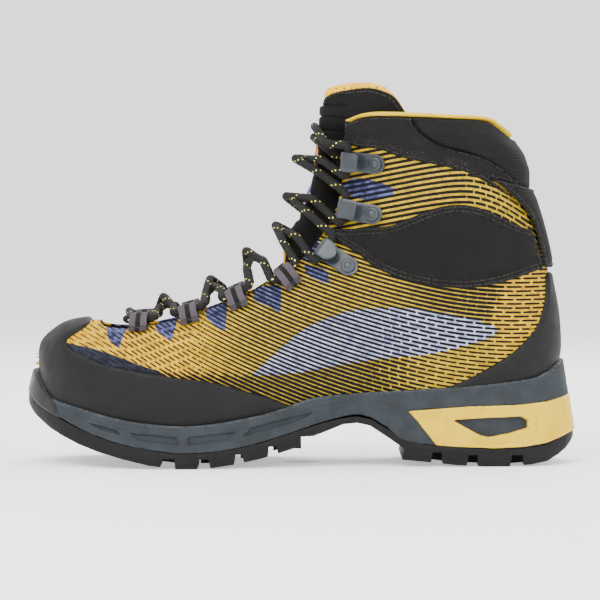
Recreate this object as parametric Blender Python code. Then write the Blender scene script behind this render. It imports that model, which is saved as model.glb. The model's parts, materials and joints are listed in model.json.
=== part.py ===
"""A left mountaineering boot, laced, built piece by piece as it comes apart on a bench.

Metres, +Z up. The toe points to -X and the outer (lateral) side of the foot faces -Y. The ground is z = 0.
Every layer of the upper follows one reference surface, the last, which is the outer face of the upper's
textile: a fan of cross sections that starts upright at the toe and turns level at the top of the shaft.
"""

import math

import bmesh
import bpy
import numpy as np
from mathutils import Matrix, Vector

MM = 0.001

# Overall sizes. The tables below are drawn, in millimetres, for a boot of the drawn sizes.
BOOT_LENGTH = 303.0
BALL_WIDTH = 105.5
BOOT_HEIGHT = 208.0
DRAWN_LENGTH = 303.0
DRAWN_WIDTH = 105.5
DRAWN_HEIGHT = 208.0

# Thicknesses and clearances, in millimetres.
GAP = 0.3
TEXTILE = 1.2
STIFFENER = 1.0
LINING = 0.9
RAND = 1.8
HEEL_CUP = 1.8
CUP_TUCK = 4.0
ANKLE_PANEL = 1.4
COLLAR_FRONT = 2.4
COLLAR_REAR = 4.6
BACKSTAY = 1.8
TONGUE = 3.2
THROAT_FRONT = 4.35
THROAT_DEPTH = 9.0
TONGUE_PROUD = 1.2
TONGUE_PLAY = 2.0
TONGUE_WING = 1.45
SHAFT_WING = 0.44
THROAT_LEAST = 0.07
TAIL_ROOM = 4.6
BINDING = 2.2
FOLD_GAP = 0.6
INSOLE_BOARD = 2.0
FOOTBED = 4.0
SHANK = 1.4
SHANK_WIDTH = 16.0
HEEL_FRAME_PROUD = 0.9
HEEL_FRAME_DEPTH = 2.2
BUMPER_PROUD = 0.4
BUMPER_DEPTH = 2.4
WINDOW_DEPTH = 1.5

# Lace and what holds it.
LACE = 4.5
LACE_PLAY = 0.5
HOOK_PLAY = 0.5
STRAP = 0.9
STRAP_WIDTH = 10.0
STRAP_LENGTH = 9.5
LOOP_SIDES = 12
LOOP_EASE = 1.12
HOOK_SHEET = 1.0
HOOK_WIDTH = 10.6
HOOK_REACH = 8.0
HOOK_HALF = 7.8
HOOK_BASE = 5.6
RIVET_RADIUS = 3.9
RIVET_SHANK = 1.3
RIVET_SIDES = 8
BADGE = (5.2, 9.0, 1.0)
BADGE_STATION = 15.2
KEEPER = (8.0, 10.0, 1.0)
KEEPER_STATION = 12.75
AGLET = (3.2, 14.0)
HOOK_TIP = 0.45
RIVET_RIM = 0.6
RIVET_DOME = 1.6
STRAP_SEAT = 0.1
HOOK_SEAT = 0.3
TAB_SEAT = 0.2
STRAND_LEAST = -0.6
STRAND_RUN = 0.15
CROSSING_GAP = 0.45
BAR_LIFT = 3.4
BAR_SAG = 0.9

# The last, one row for each cross section: the section's front or top point (x, z), its back or bottom
# point (x, z), half width, half width at the sole edge, sideways shift, where along the section it is
# widest, and how square its upper and its lower half are.
LAST = np.array(
    [
        (-144.8, 60.0, -144.0, 40.0, 0.0, 0.0, 8.5, 0.60, 2.2, 2.2),
        (-143.2, 65.5, -142.2, 36.0, 12.5, 11.0, 8.0, 0.60, 2.2, 2.2),
        (-138.6, 70.4, -138.0, 32.5, 23.0, 20.5, 7.0, 0.60, 2.2, 2.2),
        (-130.0, 75.8, -129.5, 29.0, 33.0, 30.0, 5.0, 0.60, 2.3, 2.2),
        (-117.0, 78.2, -117.0, 25.0, 41.0, 37.5, 2.5, 0.60, 2.3, 2.2),
        (-99.0, 78.4, -99.0, 21.0, 46.5, 42.5, 0.0, 0.60, 2.3, 2.2),
        (-80.0, 80.8, -80.0, 18.5, 49.0, 44.5, -2.0, 0.60, 2.2, 2.2),
        (-60.5, 86.4, -60.0, 17.8, 48.0, 43.0, -3.5, 0.60, 2.1, 2.2),
        (-42.0, 95.4, -40.0, 20.5, 45.0, 39.5, -3.8, 0.60, 2.0, 2.2),
        (-27.6, 107.4, -16.0, 25.5, 41.5, 35.5, -3.5, 0.60, 2.0, 2.2),
        (-14.6, 118.2, 12.0, 30.5, 39.0, 32.5, -3.0, 0.60, 2.0, 2.2),
        (-4.4, 128.2, 44.0, 34.0, 38.0, 31.0, -2.0, 0.60, 2.0, 2.2),
        (2.2, 139.8, 80.0, 36.0, 38.0, 31.0, -1.0, 0.60, 2.0, 2.2),
        (5.8, 149.6, 111.0, 38.5, 38.0, 28.0, 0.0, 0.60, 2.0, 2.2),
        (8.0, 158.8, 132.5, 43.0, 38.0, 14.0, 0.0, 0.60, 2.0, 2.2),
        (9.4, 166.6, 140.8, 58.0, 38.0, 0.0, 0.0, 0.60, 2.0, 2.2),
        (10.1, 173.0, 140.8, 79.0, 38.5, 0.0, 0.0, 0.58, 2.0, 2.2),
        (10.6, 178.6, 136.9, 102.0, 39.0, 0.0, 0.0, 0.57, 2.0, 2.2),
        (10.9, 184.0, 131.6, 127.0, 39.0, 0.0, 0.0, 0.56, 2.0, 2.2),
        (11.2, 189.4, 123.6, 153.0, 38.6, 0.0, 0.0, 0.55, 2.0, 2.2),
        (11.4, 194.6, 115.0, 180.0, 38.2, 0.0, 0.0, 0.55, 2.0, 2.2),
        (11.6, 199.6, 112.0, 194.0, 38.0, 0.0, 0.0, 0.55, 2.0, 2.2),
        (12.0, 212.0, 110.0, 210.0, 37.8, 0.0, 0.0, 0.55, 2.0, 2.2),
    ]
)
LAST_END = len(LAST) - 1

# The sole's plan, one row for each station from toe to heel: x, lateral y and medial y at the ground
# edge, then the same at the rim where the midsole meets the upper.
SOLE_PLAN = np.array(
    [
        (-152.2, 8.0, 8.0, -149.3, 8.0, 8.0),
        (-149.8, -3.5, 19.0, -146.9, -3.2, 18.6),
        (-143.0, -18.5, 30.0, -140.5, -18.0, 29.2),
        (-131.0, -35.0, 40.5, -129.0, -34.2, 39.0),
        (-110.0, -47.5, 48.0, -109.0, -46.6, 46.6),
        (-82.0, -55.5, 50.0, -82.0, -54.4, 49.4),
        (-52.0, -55.0, 45.5, -52.0, -54.0, 45.6),
        (-22.0, -47.5, 38.5, -22.0, -48.0, 40.0),
        (12.0, -40.0, 32.0, 12.0, -42.0, 36.0),
        (30.0, -38.3, 31.8, 30.0, -40.4, 35.5),
        (48.0, -37.5, 32.5, 48.0, -39.4, 35.6),
        (84.0, -38.5, 36.0, 84.0, -38.8, 37.0),
        (114.0, -37.5, 37.0, 112.0, -36.5, 36.5),
        (134.0, -30.0, 30.0, 130.0, -29.6, 29.6),
        (145.0, -18.0, 18.0, 140.0, -18.6, 18.6),
        (149.2, -8.5, 8.5, 143.6, -9.0, 9.0),
        (150.5, 0.0, 0.0, 144.8, 0.0, 0.0),
    ]
)

# Heights along the sole, each as (x, z): the rim of the midsole, its joint with the outsole, the tread.
RIM_LINE = (
    (-149, 51), (-145, 45), (-141, 39.6), (-135, 35.2), (-120, 31.4), (-103, 27.2), (-87, 24.6),
    (-66, 23), (-50, 23.8), (-34, 26.2), (-18, 29.5), (-5, 33.8), (5, 37.2), (21, 39.4), (57, 41.6),
    (92, 43.8), (124, 47.2), (133, 49.8), (139, 53.2), (145, 57.4),
)
JOINT_LINE = (
    (-152, 38.5), (-144, 31.6), (-131, 25.6), (-114, 17.8), (-93, 11.8), (-72, 8.7), (-61, 8.3),
    (-45, 9.2), (-29, 11.8), (-8, 17.7), (11, 24.1), (27, 27.9), (36, 27), (46, 21.2), (55, 13.6),
    (73, 11.2), (104, 9.6), (121, 9.9), (134, 11.8), (143, 16), (151, 21.5),
)
TREAD_LINE = (
    (-153, 33.4), (-148, 27.3), (-137, 19.8), (-124, 13.4), (-110, 8.5), (-93, 3.9), (-78, 0.9),
    (-69, 0), (-52, 0), (-38, 1.8), (-20, 5.4), (0, 11.6), (54, 3.2), (69, 2.6), (90, 0), (120, 0),
    (136, 2.6), (146, 9.4), (151, 15.6),
)

# Edges of the upper's panels as seen from the side, each as (x, z).
EYESTAY_EDGE = (
    (-112, 76.4), (-104, 75.2), (-95, 74.9), (-80, 77.2), (-66, 80.4), (-51, 85.6), (-38, 90.6),
    (-27, 95), (-17, 101.4), (-6, 107.6), (3, 116), (9, 123.6), (15.5, 133.2), (19.5, 143),
    (21.5, 154), (22.6, 168), (23.8, 186.8),
)
RIM_EDGE = ((23.8, 187), (33, 190.2), (47, 190.8), (80, 189.6), (101, 188.6), (108, 185.2), (116, 179.4))
COLLAR_SEAM = (
    (59, 191), (61.5, 184.6), (68.8, 178), (79, 173.6), (89, 171.2), (98.4, 168.4), (108, 163.4),
    (116.5, 155.8), (122.4, 150), (130, 147),
)
TEXTILE_TOP = (
    (23.6, 176), (30, 173.6), (40, 172.9), (46, 171), (54.5, 167.8), (70, 164.6), (84, 161.7),
    (94.5, 157.9), (105, 152.2), (114, 147.4), (125, 146.6), (150, 146.4),
)
ANKLE_TOP = (
    (11.6, 130.4), (22.5, 129.2), (34.3, 129.8), (47.2, 130.8), (57, 134.4), (67, 138.6), (77, 141.6),
    (87, 142.4), (97, 140.4), (106.6, 136.4), (116.5, 131.6), (126, 128.6),
)
ANKLE_BOTTOM = (
    (132.6, 107.4), (126.4, 105.6), (116.5, 102.4), (106.6, 99.6), (92, 97.2), (77, 97.6), (62, 100),
    (49, 104), (38.3, 109.2), (31, 115.4), (21.5, 121), (12.5, 127.4),
)
RAND_EDGE = (
    (-117, 78), (-121, 74.6), (-127, 71), (-129.8, 67.4), (-126, 63), (-118, 59.2), (-108, 56),
    (-93, 52.8), (-77, 50.4), (-61, 48.2), (-50, 46.8), (-34, 42.6), (-20, 38.4), (-8, 33.6), (0, 28),
)
WAIST_LINE = ((-60, 150), (-20, 126), (5, 125), (20, 127), (34, 120), (60, 118), (90, 118), (180, 118))
BACKSTAY_EDGE = (
    (102, 157), (110.6, 151), (117.7, 144.4), (123.3, 138.1), (127.5, 130.3), (130.4, 120.4),
    (132.5, 108), (160, 106), (160, 149.6), (130, 149.6),
)
COUNTER_EDGE = ((96, 42), (104, 70), (122, 92), (160, 96), (160, 30), (96, 30))
FOAM_EDGE = ((34, 128), (40, 158), (84, 155), (105, 145), (118, 140), (160, 137), (160, 100), (60, 102))
BUMPER_EDGE = (
    (-165, 54), (-149.4, 53.4), (-144.9, 47.4), (-141.1, 39.8), (-135.3, 34), (-132.8, 29.6),
    (-130.9, 20), (-165, 20),
)
HEEL_CUP_EDGE = (
    (70, 38), (77.6, 42.2), (88.7, 46.6), (99.3, 52.2), (113.4, 60.6), (124.7, 70.5), (129.7, 77.6),
    (133.2, 87.4), (134.4, 95), (135, 105),
)

# The yellow heel frame and its window, and the recessed windows of the midsole.
HEEL_FRAME_EDGE = (
    (57.6, 30.2), (91, 32.8), (117, 33.4), (134, 34.8), (158, 40), (158, 20.5), (142, 14.8),
    (134, 12.2), (121, 10.4), (104, 9.8), (83, 10.7), (73, 11.4), (67.8, 18), (62.7, 24.6),
)
HEEL_WINDOW = (
    (82, 25.2), (100, 26.4), (119.6, 27), (123.4, 24.8), (123.6, 21), (113.6, 18.2), (101.6, 16),
    (97.4, 16.8), (91.4, 20),
)
MIDSOLE_WINDOWS = (
    ((-116.6, 24.6), (-100.2, 21), (-98, 17.8), (-112.4, 21.4)),
    ((-93.6, 19.6), (-67.2, 17.2), (-66.4, 12.6), (-88.6, 15)),
    ((-61.6, 17.2), (-35.2, 20), (-39.6, 15), (-62, 12.6)),
    ((-32, 16.8), (-27.4, 22), (6, 30.4), (4.8, 28.2), (-2.6, 24.6)),
)
ARCH_EDGE = (
    (0, -6), (-0.6, 16.6), (6.2, 16.8), (13.9, 19.6), (22.3, 23), (29.9, 23.8), (37, 22.2), (45.7, 16.6),
    (55.6, 9.6), (53, -6),
)
# Notches between the edge lugs: x at the ground from and to, x at the root from and to, root height.
NOTCHES = (
    (-79, -67.6, -75.4, -68.8, 5.4),
    (-57.2, -47, -56, -50.6, 5.2),
    (-37.6, -28.4, -36.4, -32.4, 7.4),
    (-19.4, -9.4, -18.2, -13.8, 11.4),
    (68.6, 77.4, 71, 76.2, 7.6),
    (88.2, 96.4, 90.6, 95.6, 6.2),
    (111.6, 122.4, 114.2, 120.2, 6.0),
)
NOTCH_INNER = 19.0
LUG_CHANNEL = 4.5
# Grooves that part the edge lugs from the middle ones, and the cuts across the middle ones.
CHANNEL_MIDDLES = (-19.0, 15.0)
CHANNEL_LINES = (
    ((-84, -9), (-81, 4.8), (-54, 4.9), (-36, 7.0), (-12, 11.6), (-11, -9)),
    ((66, -9), (68, 7.3), (90, 5.9), (124, 5.8), (127, -9)),
)
CENTRE_CUTS = ((-58, 4.5), (-36, 6.5), (-18, 9.8), (82, 5.5), (106, 5.3))

# Where the lace is held, seen from the side: (x, z, lean in degrees) of each strap loop's fold, and the
# same of each hook with the shape of its tip.
LOOPS = ((-88, 76.2, 4), (-60.9, 81.4, 15), (-34.5, 91.4, 24), (-8.9, 103.4, 38))
HOOKS = ((19, 112.7, -33, "round"), (31.4, 138, -9, "square"), (33.6, 165.2, -7, "square"))
# Where the lace lies in each hook, seen from the side, to find its station.
HOOK_LACE = ((13.9, 116), (26.1, 138.9), (27.2, 166))
# Stations at which the two halves of the lace cross between one pair of holds and the next.
CROSSINGS = (6.3, 7.75, 9.2, 10.6, 12.2, 14.9)
BAR_STATION = 5.3
BAR_SPREAD = 0.1
BADGED_GAPS = (4, 5)
BADGE_ROOM = 3.0
CORNER_ROOM = 3.5
STRAND_LIFTS = (4.0, 4.0, 4.0, 4.5, 5.0, 5.0)
LACE_LIFT = 1.35
# The lace above the top hooks: station, share of the way to the eyestay, height off the last, and
# whether it has passed to the far side.
TAIL_LOWER = (
    (16.8, 0.72, 4.8, False), (17.05, 0.35, 4.6, False), (17.15, 0.1, 4.5, True), (17.0, 0.45, 4.0, True),
    (16.6, 0.66, 2.4, True), (16.2, 0.73, -1.4, True), (15.7, 0.78, -5.4, True), (15.1, 1.05, -7.0, True),
    (14.5, 1.15, -7.0, True),
)
TAIL_UPPER = (
    (17.3, 0.8, 7.6, False), (18.1, 0.4, 5.2, False), (18.3, 0.1, 4.5, True), (17.8, 0.45, 4.0, True),
    (17.2, 0.66, 2.4, True), (16.6, 0.73, -1.4, True), (16.0, 0.78, -5.4, True), (15.4, 1.05, -7.0, True),
    (14.8, 1.15, -7.0, True),
)
TAIL_STATION = 15.6
TAIL_SPAN = 3.2
FOOTBED_HINGE = -7.0

# Tongue flap above the laces, as seen from the side: (x, z) along its top edge.
FLAP_TOP = (
    (-10, 197), (10.5, 201), (14.6, 206), (22, 208.4), (34, 209.2), (42, 208), (50, 202.6),
    (55, 195.4), (57.4, 191.8),
)
FOLD_HEIGHT = 190.6
FOLD_X = 7.6

SIDES = (("lateral", -1), ("medial", 1))


# ---------------------------------------------------------------- the reference surface


def scaled(x, y, z):
    """A drawn point, in metres, at the boot's own size."""
    return Vector(
        (
            x * BOOT_LENGTH / DRAWN_LENGTH * MM,
            y * BALL_WIDTH / DRAWN_WIDTH * MM,
            z * BOOT_HEIGHT / DRAWN_HEIGHT * MM,
        )
    )


def along(rows, u):
    """The row at station u on a smooth curve through the rows."""
    last = len(rows) - 1
    i = min(max(int(u), 0), last - 1)
    f = u - i
    a, b = rows[i], rows[i + 1]
    before = rows[i - 1] if i > 0 else 2 * a - b
    after = rows[i + 2] if i + 2 <= last else 2 * b - a
    cubic = -before + 3 * a - 3 * b + after
    square = 2 * before - 5 * a + 4 * b - after
    return 0.5 * (2 * a + (b - before) * f + square * f**2 + cubic * f**3)


def last_point(u, v, side):
    """A point of the last at station u. v is 0 on the top line, 0.5 where it is widest, 1 at the sole
    edge and 2 under the foot's middle."""
    fx, fz, bx, bz, wide, foot, shift, belly, dome, tuck = along(LAST, u)
    wide, foot = max(wide, 0.0), max(foot, 0.0)
    if v <= 0.5:
        turn = v * math.pi
        share = belly * (1 - max(math.cos(turn), 0.0) ** (2 / dome))
        half = wide * math.sin(turn) ** (2 / dome)
    elif v <= 1:
        turn = (v - 0.5) * math.pi
        share = belly + (1 - belly) * math.sin(turn) ** (2 / tuck)
        half = foot + (wide - foot) * max(math.cos(turn), 0.0) ** (2 / tuck)
    else:
        share = 1.0
        half = foot * (2 - v)
    return scaled(fx + (bx - fx) * share, shift + side * half, fz + (bz - fz) * share)


def last_normal(u, v, side):
    """The outward direction of the last at that point."""
    step = 0.02
    along_u = last_point(min(u + step, LAST_END), v, side) - last_point(max(u - step, 0), v, side)
    if v >= 1 and along(LAST, u)[5] <= 0 < u:
        return Vector((-along_u.z, 0, along_u.x)).normalized() * math.copysign(1, -along_u.z)
    if v < step:
        along_v = last_point(u, step, side) - last_point(u, step, -side)
    else:
        top = min(v, 1.0)
        along_v = last_point(u, top, side) - last_point(u, top - step, side)
    normal = along_u.cross(along_v) * side
    middle = last_point(u, 0, side).y
    if abs(last_point(u, v, side).y - middle) < 1e-7:
        normal.y = 0
    return normal.normalized()


def off_last(u, v, side, offset):
    """A point the given millimetres outside the last."""
    return last_point(u, v, side) + last_normal(u, v, side) * (offset * MM)


def last_at(x, z):
    """(u, v) of the point of the last that is seen from the side at the drawn x and z."""
    target = scaled(x, 0, z)
    best = (1e9, 0.0, 0.0)
    low_u, high_u, low_v, high_v = 0.0, float(LAST_END), 0.0, 1.0
    for _ in range(6):
        for u in np.linspace(low_u, high_u, 23):
            for v in np.linspace(low_v, high_v, 13):
                p = last_point(u, v, 1)
                best = min(best, ((p.x - target.x) ** 2 + (p.z - target.z) ** 2, u, v))
        span_u, span_v = (high_u - low_u) / 8, (high_v - low_v) / 5
        low_u, high_u = max(best[1] - span_u, 0), min(best[1] + span_u, LAST_END)
        low_v, high_v = max(best[2] - span_v, 0), min(best[2] + span_v, 1)
    return best[1], best[2]


def edge_v(line, u):
    """v where station u passes a line that is drawn from the side."""
    fx, fz, bx, bz, _, _, _, belly, dome, _ = along(LAST, u)
    start, way = np.array((fx, fz)), np.array((bx - fx, bz - fz))
    for a, b in zip(np.array(line, float), np.array(line, float)[1:]):
        leg = b - a
        cross = way[0] * leg[1] - way[1] * leg[0]
        if abs(cross) < 1e-9:
            continue
        share = ((a - start)[0] * leg[1] - (a - start)[1] * leg[0]) / cross
        place = ((a - start)[0] * way[1] - (a - start)[1] * way[0]) / cross
        if -1e-6 <= place <= 1 + 1e-6 and 0 <= share <= belly:
            return math.acos(max(1 - share / belly, 0.0) ** (dome / 2)) / math.pi
    return 0.0


def height_at(line, x):
    """The height on a drawn line of (x, z) points."""
    xs, zs = zip(*line)
    return float(np.interp(x, xs, zs))


# ---------------------------------------------------------------- making and cutting solids


def clear_scene():
    for obj in list(bpy.data.objects):
        bpy.data.objects.remove(obj)


def new_collection(name):
    made = bpy.data.collections.new(name)
    bpy.context.scene.collection.children.link(made)
    return made


def material(name, colour, roughness, metallic=0.0):
    made = bpy.data.materials.new(name)
    made.use_nodes = True
    shader = made.node_tree.nodes["Principled BSDF"]
    shader.inputs["Base Color"].default_value = (*colour, 1)
    shader.inputs["Roughness"].default_value = roughness
    shader.inputs["Metallic"].default_value = metallic
    return made


def as_object(bm, name, finish=None):
    """The bmesh as a closed object: a part where it has a finish, otherwise a cutter."""
    bmesh.ops.remove_doubles(bm, verts=bm.verts, dist=2e-6)
    bmesh.ops.dissolve_degenerate(bm, dist=1e-6, edges=bm.edges)
    bmesh.ops.recalc_face_normals(bm, faces=bm.faces)
    if bm.calc_volume(signed=True) < 0:
        bmesh.ops.reverse_faces(bm, faces=bm.faces)
    mesh = bpy.data.meshes.new(name)
    bm.to_mesh(mesh)
    bm.free()
    obj = bpy.data.objects.new(name, mesh)
    if finish:
        mesh.materials.append(finish)
        BOOT.objects.link(obj)
    else:
        obj.hide_render = True
        obj.display_type = "WIRE"
        CUTTERS.objects.link(obj)
    return obj


def combine(obj, other, operation):
    """Cuts obj with other, joins them, or keeps what they share."""
    boolean = obj.modifiers.new(operation.lower(), "BOOLEAN")
    boolean.operation = operation
    boolean.object = other
    bpy.context.view_layer.update()
    graph = bpy.context.evaluated_depsgraph_get()
    mesh = bpy.data.meshes.new_from_object(obj.evaluated_get(graph))
    obj.modifiers.clear()
    obj.data = mesh
    return obj


def cut(obj, *cutters):
    for cutter in cutters:
        combine(obj, cutter, "DIFFERENCE")
    return obj


def keep(obj, *cutters):
    for cutter in cutters:
        combine(obj, cutter, "INTERSECT")
    return obj


def smooth_line(points, per_span=2):
    """More points on a smooth curve through the given ones."""
    rows = np.array(points, float)
    steps = (len(rows) - 1) * per_span
    return [tuple(along(rows, i / per_span)) for i in range(steps + 1)]


def extruded(name, outline, width, matrix, finish=None, holes=()):
    """A flat outline in millimetres, made solid to both sides of its plane, then placed by the matrix."""
    curve = bpy.data.curves.new(name, "CURVE")
    curve.dimensions = "2D"
    curve.fill_mode = "BOTH"
    curve.extrude = width / 2 * MM
    for loop in (outline, *holes):
        spline = curve.splines.new("POLY")
        spline.points.add(len(loop) - 1)
        spline.use_cyclic_u = True
        for point, (x, y) in zip(spline.points, loop):
            point.co = (x * MM, y * MM, 0, 1)
    return from_curve(name, curve, matrix, finish)


def from_curve(name, curve, matrix, finish=None):
    """The curve as a closed mesh object."""
    guide = bpy.data.objects.new(name + "_guide", curve)
    CUTTERS.objects.link(guide)
    bpy.context.view_layer.update()
    graph = bpy.context.evaluated_depsgraph_get()
    mesh = bpy.data.meshes.new_from_object(guide.evaluated_get(graph))
    bpy.data.objects.remove(guide)
    mesh.transform(matrix)
    bm = bmesh.new()
    bm.from_mesh(mesh)
    bpy.data.meshes.remove(mesh)
    return as_object(bm, name, finish)


def side_view(outline, low=-90.0, high=90.0, name="side_view"):
    """A cutter: an outline of drawn (x, z) points, solid from y = low to y = high."""
    size = [scaled(x, 0, z) / MM for x, z in outline]
    matrix = Matrix.Translation(scaled(0, (low + high) / 2, 0)) @ Matrix.Rotation(math.pi / 2, 4, "X")
    width = (high - low) * BALL_WIDTH / DRAWN_WIDTH
    return extruded(name, [(p.x, p.z) for p in size], width, matrix)


def grown(outline, distance):
    """The outline moved outwards, for a pocket with clearance."""
    rows = np.array(outline, float)
    after, before = np.roll(rows, -1, axis=0), np.roll(rows, 1, axis=0)
    area = np.sum(rows[:, 0] * after[:, 1] - after[:, 0] * rows[:, 1])
    turn = distance if area > 0 else -distance
    out = []
    for a, p, b in zip(before, rows, after):
        n1 = np.array(((p - a)[1], -(p - a)[0])) / np.linalg.norm(p - a)
        n2 = np.array(((b - p)[1], -(b - p)[0])) / np.linalg.norm(b - p)
        middle = (n1 + n2) / (1 + max(float(n1 @ n2), -0.5))
        out.append(tuple(p + middle * turn))
    return out


AROUND = [i / 8 for i in range(9)]
UNDER = [1.5, 2.0]
STATIONS = list(range(LAST_END + 1))


def columns(vs):
    """The (v, side) pairs that a strip of the last runs through, and whether it closes on itself."""
    lateral, medial = [(v, -1) for v in vs], [(v, 1) for v in vs]
    if vs[0] == 0 and vs[-1] == 2:
        return lateral[::-1] + medial[1:-1], True
    if vs[0] == 0:
        return lateral[::-1] + medial[1:], False
    return lateral + medial[:-1][::-1], False


def layer(name, low, high, stations, vs, finish=None):
    """A closed sheet between two offsets of the last, which may be numbers or functions of u and v."""
    around, closed = columns(vs)
    bm = bmesh.new()
    faces = []
    for offset in (low, high):
        rows = []
        for u in stations:
            row = []
            for v, side in around:
                out = offset(u, v) if callable(offset) else offset
                row.append(bm.verts.new(off_last(u, v, side, out)))
            rows.append(row)
        faces.append(rows)
    inner, outer = faces
    count = len(around)
    pairs = [(i, (i + 1) % count) for i in range(count if closed else count - 1)]
    for a, b in zip(range(len(stations) - 1), range(1, len(stations))):
        for i, j in pairs:
            for rows, flip in ((outer, 1), (inner, -1)):
                quad = (rows[a][i], rows[a][j], rows[b][j], rows[b][i])
                bm.faces.new(quad[:3][::flip])
                bm.faces.new((quad[0], quad[2], quad[3])[::flip])
    ends = [0, -1] if stations[0] > 0 else [-1]
    for end in ends:
        for i, j in pairs:
            bm.faces.new((outer[end][i], outer[end][j], inner[end][j], inner[end][i]))
    meets_itself = [vs[-1] >= 1 and along(LAST, u)[5] <= 0 for u in stations]
    if not closed:
        for edge in (0, -1):
            for a, b in zip(range(len(stations) - 1), range(1, len(stations))):
                if not (meets_itself[a] and meets_itself[b]):
                    bm.faces.new((outer[a][edge], outer[b][edge], inner[b][edge], inner[a][edge]))
    return as_object(bm, name, finish)


def whole_last(name, offset):
    """The last as one closed cutter, moved out by offset(u, v)."""
    around, _ = columns(AROUND + UNDER)
    bm = bmesh.new()
    rows = [[bm.verts.new(off_last(u, v, side, offset(u, v))) for v, side in around] for u in STATIONS]
    count = len(around)
    for a, b in zip(rows, rows[1:]):
        for i in range(count):
            j = (i + 1) % count
            bm.faces.new((a[i], a[j], b[j]))
            bm.faces.new((a[i], b[j], b[i]))
    bm.faces.new(rows[-1])
    return as_object(bm, name)


# ---------------------------------------------------------------- the sole unit


SLOPING_CORNERS = ((0, 1, -1), (0, 2, 1), (3, 5, 1), (3, 4, -1))


def sole_block(name, low_line, high_line, grow=0.0, drop=0.0, rise=0.0, finish=None, upright=False):
    """The sole between two drawn height lines, its walls moved out by grow millimetres."""
    corners = ((0, 1, -1), (0, 2, 1), (0, 2, 1), (0, 1, -1)) if upright else SLOPING_CORNERS
    plan = np.array(smooth_line(SOLE_PLAN))
    bm = bmesh.new()
    sections = []
    for i, row in enumerate(plan):
        ahead, behind = plan[min(i + 1, len(plan) - 1)], plan[max(i - 1, 0)]
        points = []
        for k, (x_at, y_at, side) in enumerate(corners):
            way = np.array((ahead[x_at] - behind[x_at], ahead[y_at] - behind[y_at]))
            out = np.array((way[1], -way[0])) * -side / np.linalg.norm(way)
            if i in (0, len(plan) - 1):
                out = np.array((-1.0 if i == 0 else 1.0, 0.0))
            line, lift = (low_line, drop) if k < 2 else (high_line, rise)
            z = height_at(line, row[x_at]) + lift
            points.append(scaled(row[x_at] + out[0] * grow, row[y_at] + out[1] * grow, z))
        sections.append([bm.verts.new(p) for p in points])
    for a, b in zip(sections, sections[1:]):
        for i in range(4):
            j = (i + 1) % 4
            bm.faces.new((a[i], a[j], b[j]))
            bm.faces.new((a[i], b[j], b[i]))
    bm.faces.new(sections[0])
    bm.faces.new(sections[-1])
    return as_object(bm, name, finish)


def wall_cutter(outline, depth, holes=()):
    """A cutter that removes the outline from the sole's walls down to the given depth."""
    cutter = side_view(outline)
    for hole in holes:
        cut(cutter, side_view(hole))
    return cut(cutter, sole_block("core", JOINT_LINE, RIM_LINE, -depth, -4, 4))


def cup_offset(u, v):
    """How far the midsole's cup stands off the last: room for the rand, and for the shank beneath."""
    wall = GAP + RAND + GAP + 0.2
    return wall if v <= 0.875 or u >= 14 else GAP + SHANK + GAP


def build_sole():
    cup = whole_last("cup", cup_offset)
    midsole = sole_block("midsole", JOINT_LINE, RIM_LINE, 0, 0, 0, GREY_FOAM)
    cut(midsole, cup)
    for window in MIDSOLE_WINDOWS:
        cut(midsole, wall_cutter(window, WINDOW_DEPTH))
    frame_depth = HEEL_FRAME_DEPTH + GAP
    cut(midsole, wall_cutter(grown(HEEL_FRAME_EDGE, GAP), frame_depth, [grown(HEEL_WINDOW, -GAP)]))
    cut(midsole, wall_cutter(grown(BUMPER_EDGE, GAP), BUMPER_DEPTH + GAP))

    proud = sole_block("proud", JOINT_LINE, RIM_LINE, HEEL_FRAME_PROUD, HEEL_FRAME_PROUD, -GAP)
    frame = side_view(HEEL_FRAME_EDGE, name="heel_insert")
    keep(frame, proud)
    cut(frame, sole_block("core", JOINT_LINE, RIM_LINE, -HEEL_FRAME_DEPTH, -4, 4))
    cut(frame, side_view(HEEL_WINDOW), cup)
    as_part(frame, YELLOW_FRAME)

    bumper = side_view(BUMPER_EDGE, name="toe_bumper")
    keep(bumper, sole_block("bumper_wall", JOINT_LINE, RIM_LINE, BUMPER_PROUD, 2 * BUMPER_PROUD, 0))
    cut(bumper, sole_block("core", JOINT_LINE, RIM_LINE, -BUMPER_DEPTH, -4, 4), cup)
    as_part(bumper, BLACK_RUBBER)

    outsole = sole_block("outsole", TREAD_LINE, JOINT_LINE, 0, 0, -GAP, BLACK_RUBBER, upright=True)
    cut(outsole, side_view(ARCH_EDGE))
    for low_from, low_to, root_from, root_to, root in NOTCHES:
        notch = ((low_from, -9), (root_from, root), (root_to, root), (low_to, -9))
        for low, high in ((-90, -NOTCH_INNER), (NOTCH_INNER - 2, 90)):
            cut(outsole, side_view(notch, low, high))
    for middle in CHANNEL_MIDDLES:
        for line in CHANNEL_LINES:
            cut(outsole, side_view(line, middle - LUG_CHANNEL / 2, middle + LUG_CHANNEL / 2))
    for x, root in CENTRE_CUTS:
        notch = ((x - 3, -9), (x - 2, root), (x + 2, root), (x + 3, -9))
        cut(outsole, side_view(notch, CHANNEL_MIDDLES[0], CHANNEL_MIDDLES[1]))

    shank = layer("shank", GAP, GAP + SHANK, list(range(6, 14)), [1.0, 1.5, 2.0], STEEL)
    keep(shank, side_view(((-74, 0), (-74, 80), (108, 80), (108, 0)), -SHANK_WIDTH / 2, SHANK_WIDTH / 2))


def as_part(obj, finish):
    """Moves a shape that began as a cutter into the boot."""
    CUTTERS.objects.unlink(obj)
    BOOT.objects.link(obj)
    obj.hide_render = False
    obj.display_type = "TEXTURED"
    obj.data.materials.clear()
    obj.data.materials.append(finish)
    return obj


# ---------------------------------------------------------------- the upper


def floor_drop(u, v):
    """The lining sits higher over the insole board than it does along the walls."""
    return INSOLE_BOARD - STIFFENER if v >= 1 else 0.0


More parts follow.
